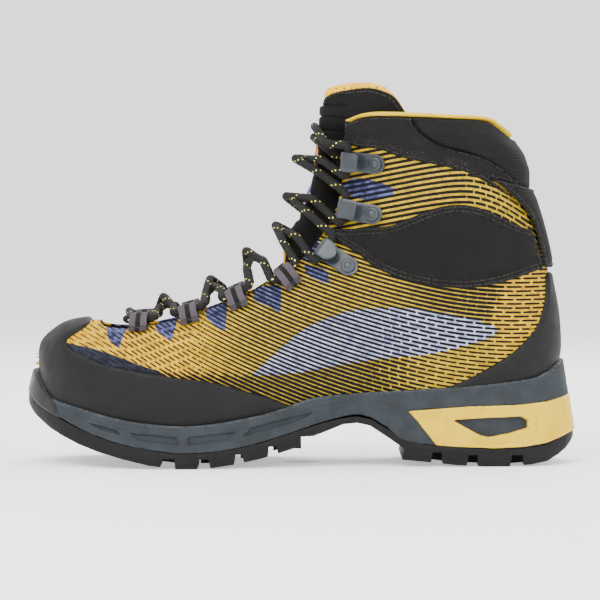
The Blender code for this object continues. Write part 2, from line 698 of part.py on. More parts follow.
def throat_v(u):
    """v of the eyestay's edge at station u, carried on straight above the collar."""
    return max(edge_v(EYESTAY_EDGE + ((24, 300),), u), THROAT_LEAST)


def throat_cutter():
    """The opening that the tongue fills, cut square through every layer of the upper."""
    stations = [THROAT_FRONT] + [i / 2 + 0.23 for i in range(9, 2 * LAST_END)]
    bm = bmesh.new()
    sheets = []
    for offset in (-THROAT_DEPTH, THROAT_DEPTH):
        rows = []
        for u in stations:
            edge = throat_v(u)
            around = [(edge * k / 3, -1) for k in (3, 2, 1, 0)] + [(edge * k / 3, 1) for k in (1, 2, 3)]
            rows.append([bm.verts.new(off_last(u, v, side, offset)) for v, side in around])
        sheets.append(rows)
    close_sheets(bm, sheets)
    return as_object(bm, "throat")


def close_sheets(bm, sheets):
    """Faces over two grids of the same size, and the walls between their borders."""
    count = len(sheets[0][0])
    rows = range(len(sheets[0]) - 1)
    for sheet in sheets:
        for a in rows:
            for i in range(count - 1):
                bm.faces.new((sheet[a][i], sheet[a][i + 1], sheet[a + 1][i + 1]))
                bm.faces.new((sheet[a][i], sheet[a + 1][i + 1], sheet[a + 1][i]))
    inner, outer = sheets
    for edge in (0, -1):
        for a in rows:
            bm.faces.new((outer[a][edge], outer[a + 1][edge], inner[a + 1][edge], inner[a][edge]))
        for i in range(count - 1):
            bm.faces.new((outer[edge][i], outer[edge][i + 1], inner[edge][i + 1], inner[edge][i]))


def below(line, low=-20.0):
    """Everything under a drawn line, as an outline."""
    return list(line) + [(line[-1][0], low), (line[0][0], low)]


def above(line, high=250.0):
    return list(line) + [(line[-1][0], high), (line[0][0], high)]


def shifted(line, rise):
    return [(x, z + rise) for x, z in line]


def long_rim(rise=0.0):
    return [(0, RIM_EDGE[0][1] + rise)] + shifted(RIM_EDGE, rise) + [(150, RIM_EDGE[-1][1] - 6 + rise)]


def build_upper():
    walls = AROUND
    ring = AROUND + UNDER
    opening = throat_cutter()
    over_rim = side_view(above(long_rim(-GAP)))
    inside = -TEXTILE - GAP

    quarter = layer("vamp_quarter", -TEXTILE, 0, STATIONS[:20], walls + [1.25], JACQUARD)
    cut(quarter, opening, side_view(above(shifted(WAIST_LINE, -GAP / 2))))
    cuff = layer("cuff_fabric", -TEXTILE, 0, STATIONS[9:20], walls, JACQUARD)
    cut(cuff, opening, side_view(below(shifted(WAIST_LINE, GAP / 2))))
    cut(cuff, side_view(above(long_line(TEXTILE_TOP, -GAP / 2))))

    lining_out = inside - STIFFENER - GAP
    lining = layer(
        "lining",
        lambda u, v: lining_out - LINING - floor_drop(u, v),
        lambda u, v: lining_out - floor_drop(u, v),
        STATIONS[:22],
        ring,
        YELLOW_LINING,
    )
    cut(lining, opening, over_rim)

    puff = layer("toe_puff", inside - STIFFENER, inside, STATIONS[:6], walls, STIFF_FIBRE)
    keep(puff, side_view(((-170, 0), (-170, 120), (-113, 120), (-108, 0))))
    counter = layer("heel_counter", inside - STIFFENER, inside, STATIONS[10:18], walls, STIFF_FIBRE)
    keep(counter, side_view(COUNTER_EDGE))
    foam = layer("ankle_foam", inside - STIFFENER, inside, STATIONS[12:20], walls, SOFT_FOAM)
    keep(foam, side_view(FOAM_EDGE))

    floor = STATIONS[2:15]
    layer("insole_board", inside - INSOLE_BOARD, inside, floor, [1.1, 1.5, 2.0], STIFF_FIBRE)
    bed_low = lining_out - LINING - (INSOLE_BOARD - STIFFENER) - GAP
    layer("footbed", bed_low - FOOTBED, bed_low, floor, [1.12, 1.5, 2.0], SOFT_FOAM)

    outer = walls[:-1]
    rand = layer("rand", GAP, GAP + RAND, STATIONS[:12], outer, BLACK_RAND)
    keep(rand, side_view(below([(-170, 90)] + [(-119, 90)] + list(RAND_EDGE))))
    cup = layer("heel_cup", GAP, GAP + HEEL_CUP, STATIONS[10:18], walls, BLACK_RAND)
    keep(cup, side_view(list(HEEL_CUP_EDGE) + [(170, 105), (170, 0), (60, 0)]))
    cut(cup, side_view(below(long_line(shifted(RIM_LINE, -CUP_TUCK)))))
    for name, side in SIDES:
        panel = layer("ankle_panel_" + name, GAP, GAP + ANKLE_PANEL, STATIONS[8:19], walls, BLACK_SOFTSHELL)
        low, high = sorted((side * 3, side * 90))
        keep(panel, side_view(list(ANKLE_TOP) + list(ANKLE_BOTTOM), low, high))
    stay_low = GAP + ANKLE_PANEL + GAP
    stay = layer("backstay", stay_low, stay_low + BACKSTAY, STATIONS[13:20], walls, BLACK_SOFTSHELL)
    keep(stay, side_view(BACKSTAY_EDGE))
    build_collar(opening, over_rim, inside)


def long_line(line, rise=0.0):
    """The drawn line carried on past both sides of the boot."""
    first, last = line[0], line[-1]
    return [(first[0] - 40, first[1] + rise)] + shifted(line, rise) + [(last[0] + 40, last[1] - 20 + rise)]


def build_collar(opening, over_rim, inside):
    low = inside - STIFFENER
    under = side_view(below(long_line(TEXTILE_TOP, GAP / 2)))
    behind_seam = side_view(list(grown_line(COLLAR_SEAM, GAP / 2)) + [(190, 147), (190, 240), (59, 240)])
    before_seam = side_view(list(grown_line(COLLAR_SEAM, -GAP / 2)) + [(190, 147), (190, 240), (59, 240)])
    stay = side_view(grown(BACKSTAY_EDGE, GAP))
    for name, side in SIDES:
        front = layer("collar_front_" + name, low, COLLAR_FRONT, STATIONS[12:22], AROUND, BLACK_MESH)
        cut(front, opening, under, before_seam, over_rim, stay)
        near, far = sorted((side * 4, side * 90))
        keep(front, side_view(((-50, 60), (-50, 240), (190, 240), (190, 60)), near, far))
    rear = layer("collar_rear", low, COLLAR_REAR, STATIONS[12:22], AROUND, BLACK_MESH)
    keep(rear, behind_seam)
    cut(rear, under, over_rim, stay)
    edge_low = low - GAP - LINING
    binding = layer("collar_binding", edge_low, COLLAR_FRONT, STATIONS[16:22], AROUND, YELLOW_EDGE)
    cut(binding, opening, side_view(below(long_rim())), side_view(above(long_rim(BINDING))))


def grown_line(line, distance):
    """The collar's seam moved up and back by the given distance."""
    return [(x + distance * 0.5, z + distance) for x, z in line]


# ---------------------------------------------------------------- the tongue


def tongue_face(u, part):
    """The offset of the tongue's outer face at a share of the way from its middle to the eyestay."""
    tucked = -(TEXTILE + GAP + STIFFENER + GAP + LINING + TONGUE_PLAY)
    channel = TAIL_ROOM * min(max((TAIL_SPAN - abs(u - TAIL_STATION)) / 1.2, 0.0), 1.0)
    rise = min(max((u - THROAT_FRONT - 0.1) / 0.5, 0.0), 1.0)
    bump = 1 - min(max((part - 0.25) / 0.5, 0.0), 1.0)
    bump = bump * bump * (3 - 2 * bump)
    return tucked - channel * (1 - bump) + (TONGUE_PROUD - tucked) * bump * rise


def wing_v(u):
    """v of the tongue's own edge: narrow under the vamp and wide inside the shaft."""
    share = min(max((u - 12) / 5, 0.0), 1.0)
    return max(throat_v(u) * TONGUE_WING, SHAFT_WING * share)


def build_tongue():
    stations = [4.0, 4.3, 4.6, 5.0] + [5 + i * 0.75 for i in range(1, 23)] + [22.0]
    shares = (0, 0.28, 0.5, 0.72, 1.0)
    bm = bmesh.new()
    sheets = []
    for drop in (TONGUE, 0.0):
        rows = []
        for u in stations:
            edge, wing = throat_v(u), wing_v(u)
            reach = [share * edge for share in shares] + [(edge + wing) / 2, wing]
            around = [(v, -1) for v in reach[::-1]] + [(v, 1) for v in reach[1:]]
            row = [
                bm.verts.new(off_last(u, v, side, tongue_face(u, min(v / edge, 1.0)) - drop))
                for v, side in around
            ]
            rows.append(row)
        sheets.append(rows)
    close_sheets(bm, sheets)
    whole = as_object(bm, "tongue")
    fold = ((-60, FOLD_HEIGHT), (90, FOLD_HEIGHT))
    lower = as_object(copy_of(whole), "tongue_lower", BLACK_TONGUE)
    cut(lower, side_view(above(shifted(fold, -FOLD_GAP / 2))))
    flap = as_object(copy_of(whole), "tongue_flap", BLACK_TONGUE)
    cut(flap, side_view(below(shifted(fold, FOLD_GAP / 2))))
    keep(flap, side_view(below(FLAP_TOP)))
    bpy.data.objects.remove(whole)

    width, height, thick = BADGE
    matrix = on_tongue(BADGE_STATION, thick / 2 + GAP + TAB_SEAT)
    oval = [(x * height, y * width) for x, y in ring_points(1.0, 16)]
    extruded("tongue_badge", oval, thick, matrix, COPPER)
    tab = [(-KEEPER[0] / 2, -KEEPER[1] / 2), (KEEPER[0] / 2, -KEEPER[1] / 2)]
    tab += [(x, -y) for x, y in tab[::-1]]
    matrix = on_tongue(KEEPER_STATION, KEEPER[2] / 2 + GAP + TAB_SEAT)
    extruded("tongue_lace_keeper", tab, KEEPER[2], matrix, STRIPED_STRAP)


def copy_of(obj):
    bm = bmesh.new()
    bm.from_mesh(obj.data)
    return bm


def on_tongue(u, lift):
    """A frame on the tongue's middle line: x up the tongue, y across it, z away from it."""
    normal = last_normal(u, 0, 1)
    up = (last_point(u + 0.1, 0, 1) - last_point(u - 0.1, 0, 1)).normalized()
    across = normal.cross(up)
    place = off_last(u, 0, 1, tongue_face(u, 0) + lift)
    return frame_matrix(up, across, normal, place)


def frame_matrix(x, y, z, place):
    matrix = Matrix((x, y, z)).transposed().to_4x4()
    matrix.translation = place
    return matrix


# ---------------------------------------------------------------- what holds the lace


def tangent(normal, dx, dz):
    """The direction in the surface that is seen from the side as (dx, dz)."""
    return Vector((dx, -(normal.x * dx + normal.z * dz) / normal.y, dz)).normalized()


def loop_frame(x, z, lean, side):
    """A strap loop's frame: x away from the tongue, y off the surface, z up the eyestay."""
    u, v = last_at(x, z)
    normal = last_normal(u, v, side)
    angle = math.radians(lean)
    up = tangent(normal, math.cos(angle), math.sin(angle))
    back = up.cross(normal) * -side
    fold = LACE / 2 + LACE_PLAY + STRAP
    place = off_last(u, v, side, GAP + STRAP_SEAT + fold)
    return frame_matrix(back, normal, up, place)


def hook_frame(x, z, lean, side):
    """A hook's frame, on the surface half way between its bend and its rivet."""
    u, v = last_at(x, z)
    normal = last_normal(u, v, side)
    angle = math.radians(lean)
    back = tangent(normal, math.cos(angle), math.sin(angle))
    up = normal.cross(back) * -side
    return frame_matrix(back, normal, up, off_last(u, v, side, GAP + HOOK_SEAT))


def build_loop(name, frame):
    hole = LACE / 2 + LACE_PLAY
    fold = hole + STRAP
    arc = [math.radians(a) for a in range(-90, -301, -30)]
    outline = [(STRAP_LENGTH, -fold)] + [(fold * math.cos(a), fold * math.sin(a)) for a in arc]
    outline += [(1.9 * fold, 2 * STRAP - fold), (STRAP_LENGTH, 2 * STRAP - fold)]
    extruded(name, outline, STRAP_WIDTH, frame, GREY_STRAP, [ring_points(hole * LOOP_EASE, LOOP_SIDES)])


def lace_height():
    return HOOK_SHEET + LACE / 2 + HOOK_PLAY


def build_hook(name, frame, shape):
    """A sheet hook: a riveted base, a bend towards the tongue and a tip that runs back over the lace."""
    half, sheet = HOOK_WIDTH / 2, HOOK_SHEET / 2
    middle = lace_height()
    reach = LACE / 2 + HOOK_PLAY + sheet
    base_end, tip = HOOK_HALF + HOOK_BASE, HOOK_REACH - HOOK_HALF
    tip_radius = half * (1.0 if shape == "round" else HOOK_TIP)
    path = [(base_end - half * d, sheet, 0, 1, narrowed(d, half, half)) for d in (0, 0.3, 1)]
    for angle in range(-90, -271, -45):
        c, s = math.cos(math.radians(angle)), math.sin(math.radians(angle))
        path.append((reach * c - HOOK_HALF, reach * s + middle, -c, -s, half))
    path += [
        (tip - tip_radius * d, reach + middle, 0, -1, narrowed(d, tip_radius, half)) for d in (1, 0.3, 0)
    ]
    bm = bmesh.new()
    sections = []
    for x, y, nx, ny, wide in path:
        corners = ((sheet, wide), (sheet, -wide), (-sheet, -wide), (-sheet, wide))
        section = [Vector((x + nx * a, y + ny * a, w)) * MM for a, w in corners]
        sections.append([bm.verts.new(frame @ corner) for corner in section])
    for a, b in zip(sections, sections[1:]):
        for i in range(4):
            j = (i + 1) % 4
            bm.faces.new((a[i], a[j], b[j], b[i]))
    bm.faces.new(sections[0])
    bm.faces.new(sections[-1])
    hook = as_object(bm, name, GREY_METAL)
    face = frame @ Matrix.Translation((HOOK_HALF * MM, 0, 0)) @ Matrix.Rotation(math.pi / 2, 4, "X")
    cut(hook, extruded("rivet_hole", ring_points(RIVET_SHANK + GAP, 8), LACE, face))


def narrowed(share, radius, half):
    """Half the width of a sheet at a share of its end's rounding, measured from the tip."""
    return half - radius * (1 - max(math.sqrt(1 - (1 - share) ** 2), 0.3))


def ring_points(radius, count):
    angles = np.linspace(0, 2 * math.pi, count, endpoint=False)
    return [(radius * math.cos(a), radius * math.sin(a)) for a in angles]


def build_rivet(name, frame):
    """A domed head on the hook's base with a shank through its hole."""
    bm = bmesh.new()
    foot, seat = STRAP_SEAT, HOOK_SHEET + GAP
    rings = [(0.0, foot), (RIVET_SHANK, foot), (RIVET_SHANK, seat), (RIVET_RADIUS, seat)]
    rings += [(RIVET_RADIUS, seat + RIVET_RIM), (0.0, seat + RIVET_DOME)]
    rows = []
    for radius, rise in rings:
        row = []
        for x, z in ring_points(radius, RIVET_SIDES):
            local = Vector((HOOK_HALF + x, rise, z)) * MM
            row.append(bm.verts.new(frame @ local))
        rows.append(row)
    for a, b in zip(rows, rows[1:]):
        for i in range(RIVET_SIDES):
            j = (i + 1) % RIVET_SIDES
            bm.faces.new((a[i], a[j], b[j], b[i]))
    as_object(bm, name, GREY_METAL)


# ---------------------------------------------------------------- the lace


def through(frame, width, shift=(0.0, 0.0)):
    """The lace's way in and out of a loop or hook, from the lower end to the upper."""
    reach = width / 2 + CORNER_ROOM
    return [frame @ (Vector((shift[0], shift[1], z)) * MM) for z in (-reach, reach)]


def lace_route(frames):
    """The lace's middle line from one tip to the other, over every hold in turn."""
    uv = [last_at(x, z) for x, z, _ in LOOPS] + [last_at(*HOOK_LACE[i]) for i in range(len(HOOKS))]
    lie = GAP + LACE / 2
    count = len(uv)

    def strand(i, side, over):
        """From hold i on one side to hold i + 1 on the other."""
        points = []
        (u0, v0), (u1, v1) = uv[i], uv[i + 1]
        for share in (0.24, 0.5, 0.76):
            reach = (u1 - u0) * STRAND_RUN
            u = float(np.interp(share, (0, 0.5, 1), (u0 + reach, CROSSINGS[i], u1 - reach)))
            across = side * (v0 * (1 - share) - v1 * share)
            v, at = abs(across), (1 if across > 0 else -1)
            edge = throat_v(u)
            ground = max(tongue_face(u, min(v / edge, 1.0)), STRAND_LEAST)
            lift = ground + lie + LACE_LIFT
            if share == 0.5:
                lift += LACE + CROSSING_GAP if over else 0.0
                lift += BADGE[2] + BADGE_ROOM if i in BADGED_GAPS else 0.0
            else:
                lift = max(lift, STRAND_LIFTS[i])
            points.append(off_last(u, v, at, lift))
        return points

    def up_from_bar(side):
        points = []
        here = side
        for i in range(count):
            points += frames[i, here]
            if i + 1 < count:
                over = (here > 0) == (i % 2 == 0)
                points += strand(i, here, over)
                here = -here
        return points, here

    right, right_end = up_from_bar(1)
    left, left_end = up_from_bar(-1)
    bar = [off_last(BAR_STATION, BAR_SPREAD, side, BAR_LIFT) for side in (1, -1)]
    bar.insert(1, off_last(BAR_STATION - 0.1, 0, 1, tongue_face(BAR_STATION, 0) + lie + BAR_SAG))
    right += tail(right_end, False)
    left += tail(left_end, True)
    return right[::-1] + bar + left


def tail(side, upper):
    """From the top hook across the shin, then down between the tongue and the collar on the far side."""
    rows = TAIL_UPPER if upper else TAIL_LOWER
    points = []
    for u, part, lift, far in rows:
        edge = throat_v(u)
        points.append(off_last(u, part * edge, -side if far else side, lift))
    return points


def tube(name, points, radius, finish):
    curve = bpy.data.curves.new(name, "CURVE")
    curve.dimensions = "3D"
    curve.bevel_depth = radius * MM
    curve.bevel_resolution = 2
    curve.use_fill_caps = True
    spline = curve.splines.new("POLY")
    spline.points.add(len(points) - 1)
    for point, place in zip(spline.points, points):
        point.co = (*place, 1)
    return from_curve(name, curve, Matrix.Identity(4), finish)


def build_lacing():
    frames = {}
    for name, side in SIDES:
        for i, (x, z, lean) in enumerate(LOOPS):
            frame = loop_frame(x, z, lean, side)
            build_loop(f"lace_loop_{name}_{i + 1}", frame)
            frames[i, side] = through(frame, STRAP_WIDTH)
        for i, (x, z, lean, shape) in enumerate(HOOKS):
            frame = hook_frame(x, z, lean, side)
            build_hook(f"hook_{name}_{i + 1}", frame, shape)
            build_rivet(f"rivet_{name}_{i + 1}", frame)
            frames[len(LOOPS) + i, side] = through(frame, HOOK_WIDTH, (-HOOK_HALF, lace_height()))
    points = lace_route(frames)
    tube("lace", points, LACE / 2, LACE_BLACK)
    for name, ends in (("medial", points[1::-1]), ("lateral", points[-2:])):
        way = (ends[1] - ends[0]).normalized()
        start = ends[1] + way * (GAP * MM)
        tube("lace_tip_" + name, [start, start + way * (AGLET[1] * MM)], AGLET[0] / 2, TIP_PLASTIC)


# ---------------------------------------------------------------- the boot


def stand_on_origin():
    """Moves the boot so that the middle of its box is over the origin and it stands on z = 0."""
    corners = np.array([v.co for obj in BOOT.objects for v in obj.data.vertices])
    low, high = corners.min(axis=0), corners.max(axis=0)
    move = Matrix.Translation((-(low[0] + high[0]) / 2, -(low[1] + high[1]) / 2, -low[2]))
    for obj in BOOT.objects:
        obj.data.transform(move)
    return move


def set_origin(obj, place):
    """Puts a moving piece's origin on its joint's axis without moving the piece."""
    obj.data.transform(Matrix.Translation(-place))
    obj.location = place


def main():
    build_sole()
    build_upper()
    build_tongue()
    build_lacing()
    move = stand_on_origin()
    fold = move @ scaled(FOLD_X, 0, FOLD_HEIGHT)
    toe_end = move @ off_last(2, 2.0, 1, FOOTBED_HINGE)
    set_origin(BOOT.objects["tongue_flap"], fold)
    set_origin(BOOT.objects["footbed"], toe_end)
    for obj in BOOT.objects:
        obj.data.shade_smooth()
        obj.data.set_sharp_from_angle(angle=math.radians(35))


clear_scene()
BOOT = new_collection("mountaineering_boot")
CUTTERS = new_collection("cutters")
JACQUARD = material("jacquard", (0.78, 0.56, 0.12), 0.85)
YELLOW_LINING = material("yellow_lining", (1.0, 0.63, 0.06), 0.8)
YELLOW_EDGE = material("yellow_edge", (0.95, 0.72, 0.06), 0.7)
YELLOW_FRAME = material("yellow_frame", (1.0, 0.72, 0.03), 0.5)
GREY_FOAM = material("grey_foam", (0.08, 0.09, 0.1), 0.75)
BLACK_RUBBER = material("black_rubber", (0.012, 0.012, 0.013), 0.6)
BLACK_RAND = material("black_rand", (0.016, 0.016, 0.017), 0.55)
BLACK_SOFTSHELL = material("black_softshell", (0.014, 0.014, 0.015), 0.9)
BLACK_MESH = material("black_mesh", (0.02, 0.02, 0.022), 0.9)
BLACK_TONGUE = material("black_tongue", (0.014, 0.014, 0.015), 0.9)
GREY_METAL = material("grey_metal", (0.1, 0.12, 0.13), 0.4, 0.7)
GREY_STRAP = material("grey_strap", (0.14, 0.12, 0.14), 0.85)
STRIPED_STRAP = material("striped_strap", (0.3, 0.3, 0.5), 0.85)
COPPER = material("copper", (0.45, 0.24, 0.1), 0.4, 0.6)
STEEL = material("steel", (0.55, 0.55, 0.56), 0.35, 1.0)
STIFF_FIBRE = material("stiff_fibre", (0.5, 0.42, 0.3), 0.8)
SOFT_FOAM = material("soft_foam", (0.35, 0.35, 0.37), 0.95)
LACE_BLACK = material("lace_black", (0.02, 0.02, 0.02), 0.85)
TIP_PLASTIC = material("tip_plastic", (0.03, 0.03, 0.03), 0.3)
main()
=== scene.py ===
"""Looks of the laced mountaineering boot, laid out as an add-on.

Outlines are drawn from the side in millimetres. The upper's pieces follow the last, and the sole's follow
its wall.
"""

import json
import math

import bmesh
import bpy
import numpy as np
from mathutils import Matrix, Vector, kdtree

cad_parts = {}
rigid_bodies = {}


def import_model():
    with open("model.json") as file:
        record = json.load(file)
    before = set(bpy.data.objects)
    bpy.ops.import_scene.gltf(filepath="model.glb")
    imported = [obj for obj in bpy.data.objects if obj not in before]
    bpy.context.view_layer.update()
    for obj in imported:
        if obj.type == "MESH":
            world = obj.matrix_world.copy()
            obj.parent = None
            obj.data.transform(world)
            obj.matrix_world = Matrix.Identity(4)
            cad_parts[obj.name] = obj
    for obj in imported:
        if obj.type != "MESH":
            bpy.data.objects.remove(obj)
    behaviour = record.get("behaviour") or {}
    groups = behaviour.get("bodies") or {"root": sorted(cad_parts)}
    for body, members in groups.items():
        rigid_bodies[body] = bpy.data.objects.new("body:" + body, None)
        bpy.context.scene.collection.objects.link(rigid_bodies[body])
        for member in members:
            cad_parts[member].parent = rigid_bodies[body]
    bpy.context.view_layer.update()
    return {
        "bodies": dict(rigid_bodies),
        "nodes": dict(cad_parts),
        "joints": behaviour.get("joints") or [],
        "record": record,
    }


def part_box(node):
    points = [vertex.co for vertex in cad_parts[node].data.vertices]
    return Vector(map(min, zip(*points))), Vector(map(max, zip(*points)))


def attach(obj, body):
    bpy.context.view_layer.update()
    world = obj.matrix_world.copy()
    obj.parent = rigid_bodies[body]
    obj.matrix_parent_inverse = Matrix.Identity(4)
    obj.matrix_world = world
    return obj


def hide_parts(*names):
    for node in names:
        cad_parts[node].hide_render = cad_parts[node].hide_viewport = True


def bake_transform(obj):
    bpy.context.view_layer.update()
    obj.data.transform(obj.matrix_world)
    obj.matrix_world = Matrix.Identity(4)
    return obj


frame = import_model()

bl_info = {
    "name": "Mountaineering Boot",
    "version": (1, 0, 0),
    "blender": (4, 5, 0),
    "location": "View3D > Sidebar > Boot",
    "description": "Builds the visible pieces of a laced mountaineering boot around its fixed frame",
    "category": "Add Mesh",
}

MM = 0.001
FOLD = (7.6, 190.6)
FLAP_JOINT = next(j for j in frame["joints"] if j["child"] == "tongue_flap")
SHIFT = np.array(FLAP_JOINT["pos_m"]) - np.array((FOLD[0], 0, FOLD[1])) * MM
LAST = np.array(
    [
        (-144.8, 60.0, -144.0, 40.0, 0.0, 0.0, 8.5, 0.60, 2.2, 2.2),
        (-143.2, 65.5, -142.2, 36.0, 12.5, 11.0, 8.0, 0.60, 2.2, 2.2),
        (-138.6, 70.4, -138.0, 32.5, 23.0, 20.5, 7.0, 0.60, 2.2, 2.2),
        (-130.0, 75.8, -129.5, 29.0, 33.0, 30.0, 5.0, 0.60, 2.3, 2.2),
        (-117.0, 78.2, -117.0, 25.0, 41.0, 37.5, 2.5, 0.60, 2.3, 2.2),
        (-99.0, 78.4, -99.0, 21.0, 46.5, 42.5, 0.0, 0.60, 2.3, 2.2),
        (-80.0, 80.8, -80.0, 18.5, 49.0, 44.5, -2.0, 0.60, 2.2, 2.2),
        (-60.5, 86.4, -60.0, 17.8, 48.0, 43.0, -3.5, 0.60, 2.1, 2.2),
        (-42.0, 95.4, -40.0, 20.5, 45.0, 39.5, -3.8, 0.60, 2.0, 2.2),
        (-27.6, 107.4, -16.0, 25.5, 41.5, 35.5, -3.5, 0.60, 2.0, 2.2),
        (-14.6, 118.2, 12.0, 30.5, 39.0, 32.5, -3.0, 0.60, 2.0, 2.2),
        (-4.4, 128.2, 44.0, 34.0, 38.0, 31.0, -2.0, 0.60, 2.0, 2.2),
        (2.2, 139.8, 80.0, 36.0, 38.0, 31.0, -1.0, 0.60, 2.0, 2.2),
        (5.8, 149.6, 111.0, 38.5, 38.0, 28.0, 0.0, 0.60, 2.0, 2.2),
        (8.0, 158.8, 132.5, 43.0, 38.0, 14.0, 0.0, 0.60, 2.0, 2.2),
        (9.4, 166.6, 140.8, 58.0, 38.0, 0.0, 0.0, 0.60, 2.0, 2.2),
        (10.1, 173.0, 140.8, 79.0, 38.5, 0.0, 0.0, 0.58, 2.0, 2.2),
        (10.6, 178.6, 136.9, 102.0, 39.0, 0.0, 0.0, 0.57, 2.0, 2.2),
        (10.9, 184.0, 131.6, 127.0, 39.0, 0.0, 0.0, 0.56, 2.0, 2.2),
        (11.2, 189.4, 123.6, 153.0, 38.6, 0.0, 0.0, 0.55, 2.0, 2.2),
        (11.4, 194.6, 115.0, 180.0, 38.2, 0.0, 0.0, 0.55, 2.0, 2.2),
        (11.6, 199.6, 112.0, 194.0, 38.0, 0.0, 0.0, 0.55, 2.0, 2.2),
        (12.0, 212.0, 110.0, 210.0, 37.8, 0.0, 0.0, 0.55, 2.0, 2.2),
    ]
)
SOLE_PLAN = np.array(
    [
        (-152.2, 8.0, 8.0, -149.3, 8.0, 8.0),
        (-149.8, -3.5, 19.0, -146.9, -3.2, 18.6),
        (-143.0, -18.5, 30.0, -140.5, -18.0, 29.2),
        (-131.0, -35.0, 40.5, -129.0, -34.2, 39.0),
        (-110.0, -47.5, 48.0, -109.0, -46.6, 46.6),
        (-82.0, -55.5, 50.0, -82.0, -54.4, 49.4),
        (-52.0, -55.0, 45.5, -52.0, -54.0, 45.6),
        (-22.0, -47.5, 38.5, -22.0, -48.0, 40.0),
        (12.0, -40.0, 32.0, 12.0, -42.0, 36.0),
        (30.0, -38.3, 31.8, 30.0, -40.4, 35.5),
        (48.0, -37.5, 32.5, 48.0, -39.4, 35.6),
        (84.0, -38.5, 36.0, 84.0, -38.8, 37.0),
        (114.0, -37.5, 37.0, 112.0, -36.5, 36.5),
        (134.0, -30.0, 30.0, 130.0, -29.6, 29.6),
        (145.0, -18.0, 18.0, 140.0, -18.6, 18.6),
        (149.2, -8.5, 8.5, 143.6, -9.0, 9.0),
        (150.5, 0.0, 0.0, 144.8, 0.0, 0.0),
    ]
)
RIM_LINE = (
    (-149, 51), (-145, 45), (-141, 39.6), (-135, 35.2), (-120, 31.4), (-103, 27.2), (-87, 24.6),
    (-66, 23), (-50, 23.8), (-34, 26.2), (-18, 29.5), (-5, 33.8), (5, 37.2), (21, 39.4), (57, 41.6),
    (92, 43.8), (124, 47.2), (133, 49.8), (139, 53.2), (145, 57.4),
)
JOINT_LINE = (
    (-152, 38.5), (-144, 31.6), (-131, 25.6), (-114, 17.8), (-93, 11.8), (-72, 8.7), (-61, 8.3),
    (-45, 9.2), (-29, 11.8), (-8, 17.7), (11, 24.1), (27, 27.9), (36, 27), (46, 21.2), (55, 13.6),
    (73, 11.2), (104, 9.6), (121, 9.9), (134, 11.8), (143, 16), (151, 21.5),
)
EYESTAY_EDGE = (
    (-112, 76.4), (-104, 75.2), (-95, 74.9), (-80, 77.2), (-66, 80.4), (-51, 85.6), (-38, 90.6),
    (-27, 95), (-17, 101.4), (-6, 107.6), (3, 116), (9, 123.6), (15.5, 133.2), (19.5, 143),
    (21.5, 154), (22.6, 168), (23.8, 186.8),
)
RIM_EDGE = ((23.8, 187), (33, 190.2), (47, 190.8), (80, 189.6), (101, 188.6), (108, 185.2), (116, 179.4))
COLLAR_SEAM = (
    (59, 191), (61.5, 184.6), (68.8, 178), (79, 173.6), (89, 171.2), (98.4, 168.4), (108, 163.4),
    (116.5, 155.8), (122.4, 150), (130, 147),
)
TEXTILE_TOP = (
    (23.6, 176), (30, 173.6), (40, 172.9), (46, 171), (54.5, 167.8), (70, 164.6), (84, 161.7),
    (94.5, 157.9), (105, 152.2), (114, 147.4), (125, 146.6), (150, 146.4),
)
ANKLE_TOP = (
    (11.6, 130.4), (22.5, 129.2), (34.3, 129.8), (47.2, 130.8), (57, 134.4), (67, 138.6), (77, 141.6),
    (87, 142.4), (97, 140.4), (106.6, 136.4), (116.5, 131.6), (126, 128.6),
)
ANKLE_BOTTOM = (
    (132.6, 107.4), (126.4, 105.6), (116.5, 102.4), (106.6, 99.6), (92, 97.2), (77, 97.6), (62, 100),
    (49, 104), (38.3, 109.2), (31, 115.4), (21.5, 121), (12.5, 127.4),
)
RAND_EDGE = (
    (-117, 78), (-121, 74.6), (-127, 71), (-129.8, 67.4), (-126, 63), (-118, 59.2), (-108, 56),
    (-93, 52.8), (-77, 50.4), (-61, 48.2), (-50, 46.8), (-34, 42.6), (-20, 38.4), (-8, 33.6), (0, 28),
)
WAIST_LINE = ((-60, 150), (-20, 126), (5, 125), (20, 127), (34, 120), (60, 118), (90, 118), (180, 118))
BACKSTAY_EDGE = (
    (102, 157), (110.6, 151), (117.7, 144.4), (123.3, 138.1), (127.5, 130.3), (130.4, 120.4),
    (132.5, 108), (160, 106), (160, 149.6), (130, 149.6),
)
FOAM_EDGE = ((34, 128), (40, 158), (84, 155), (105, 145), (118, 140), (160, 137), (160, 100), (60, 102))
BUMPER_EDGE = (
    (-165, 54), (-149.4, 53.4), (-144.9, 47.4), (-141.1, 39.8), (-135.3, 34), (-132.8, 29.6),
    (-130.9, 20), (-165, 20),
)
HEEL_CUP_EDGE = (
    (70, 38), (77.6, 42.2), (88.7, 46.6), (99.3, 52.2), (113.4, 60.6), (124.7, 70.5), (129.7, 77.6),
    (133.2, 87.4), (134.4, 95), (135, 105),
)
HEEL_FRAME_EDGE = (
    (57.6, 30.2), (91, 32.8), (117, 33.4), (134, 34.8), (158, 40), (158, 20.5), (142, 14.8),
    (134, 12.2), (121, 10.4), (104, 9.8), (83, 10.7), (73, 11.4), (67.8, 18), (62.7, 24.6),
)
HEEL_WINDOW = (
    (82, 25.2), (100, 26.4), (119.6, 27), (123.4, 24.8), (123.6, 21), (113.6, 18.2), (101.6, 16),
    (97.4, 16.8), (91.4, 20),
)
MIDSOLE_WINDOWS = (
    ((-116.6, 24.6), (-100.2, 21), (-98, 17.8), (-112.4, 21.4)),
    ((-93.6, 19.6), (-67.2, 17.2), (-66.4, 12.6), (-88.6, 15)),
    ((-61.6, 17.2), (-35.2, 20), (-39.6, 15), (-62, 12.6)),
    ((-32, 16.8), (-27.4, 22), (6, 30.4), (4.8, 28.2), (-2.6, 24.6)),
)
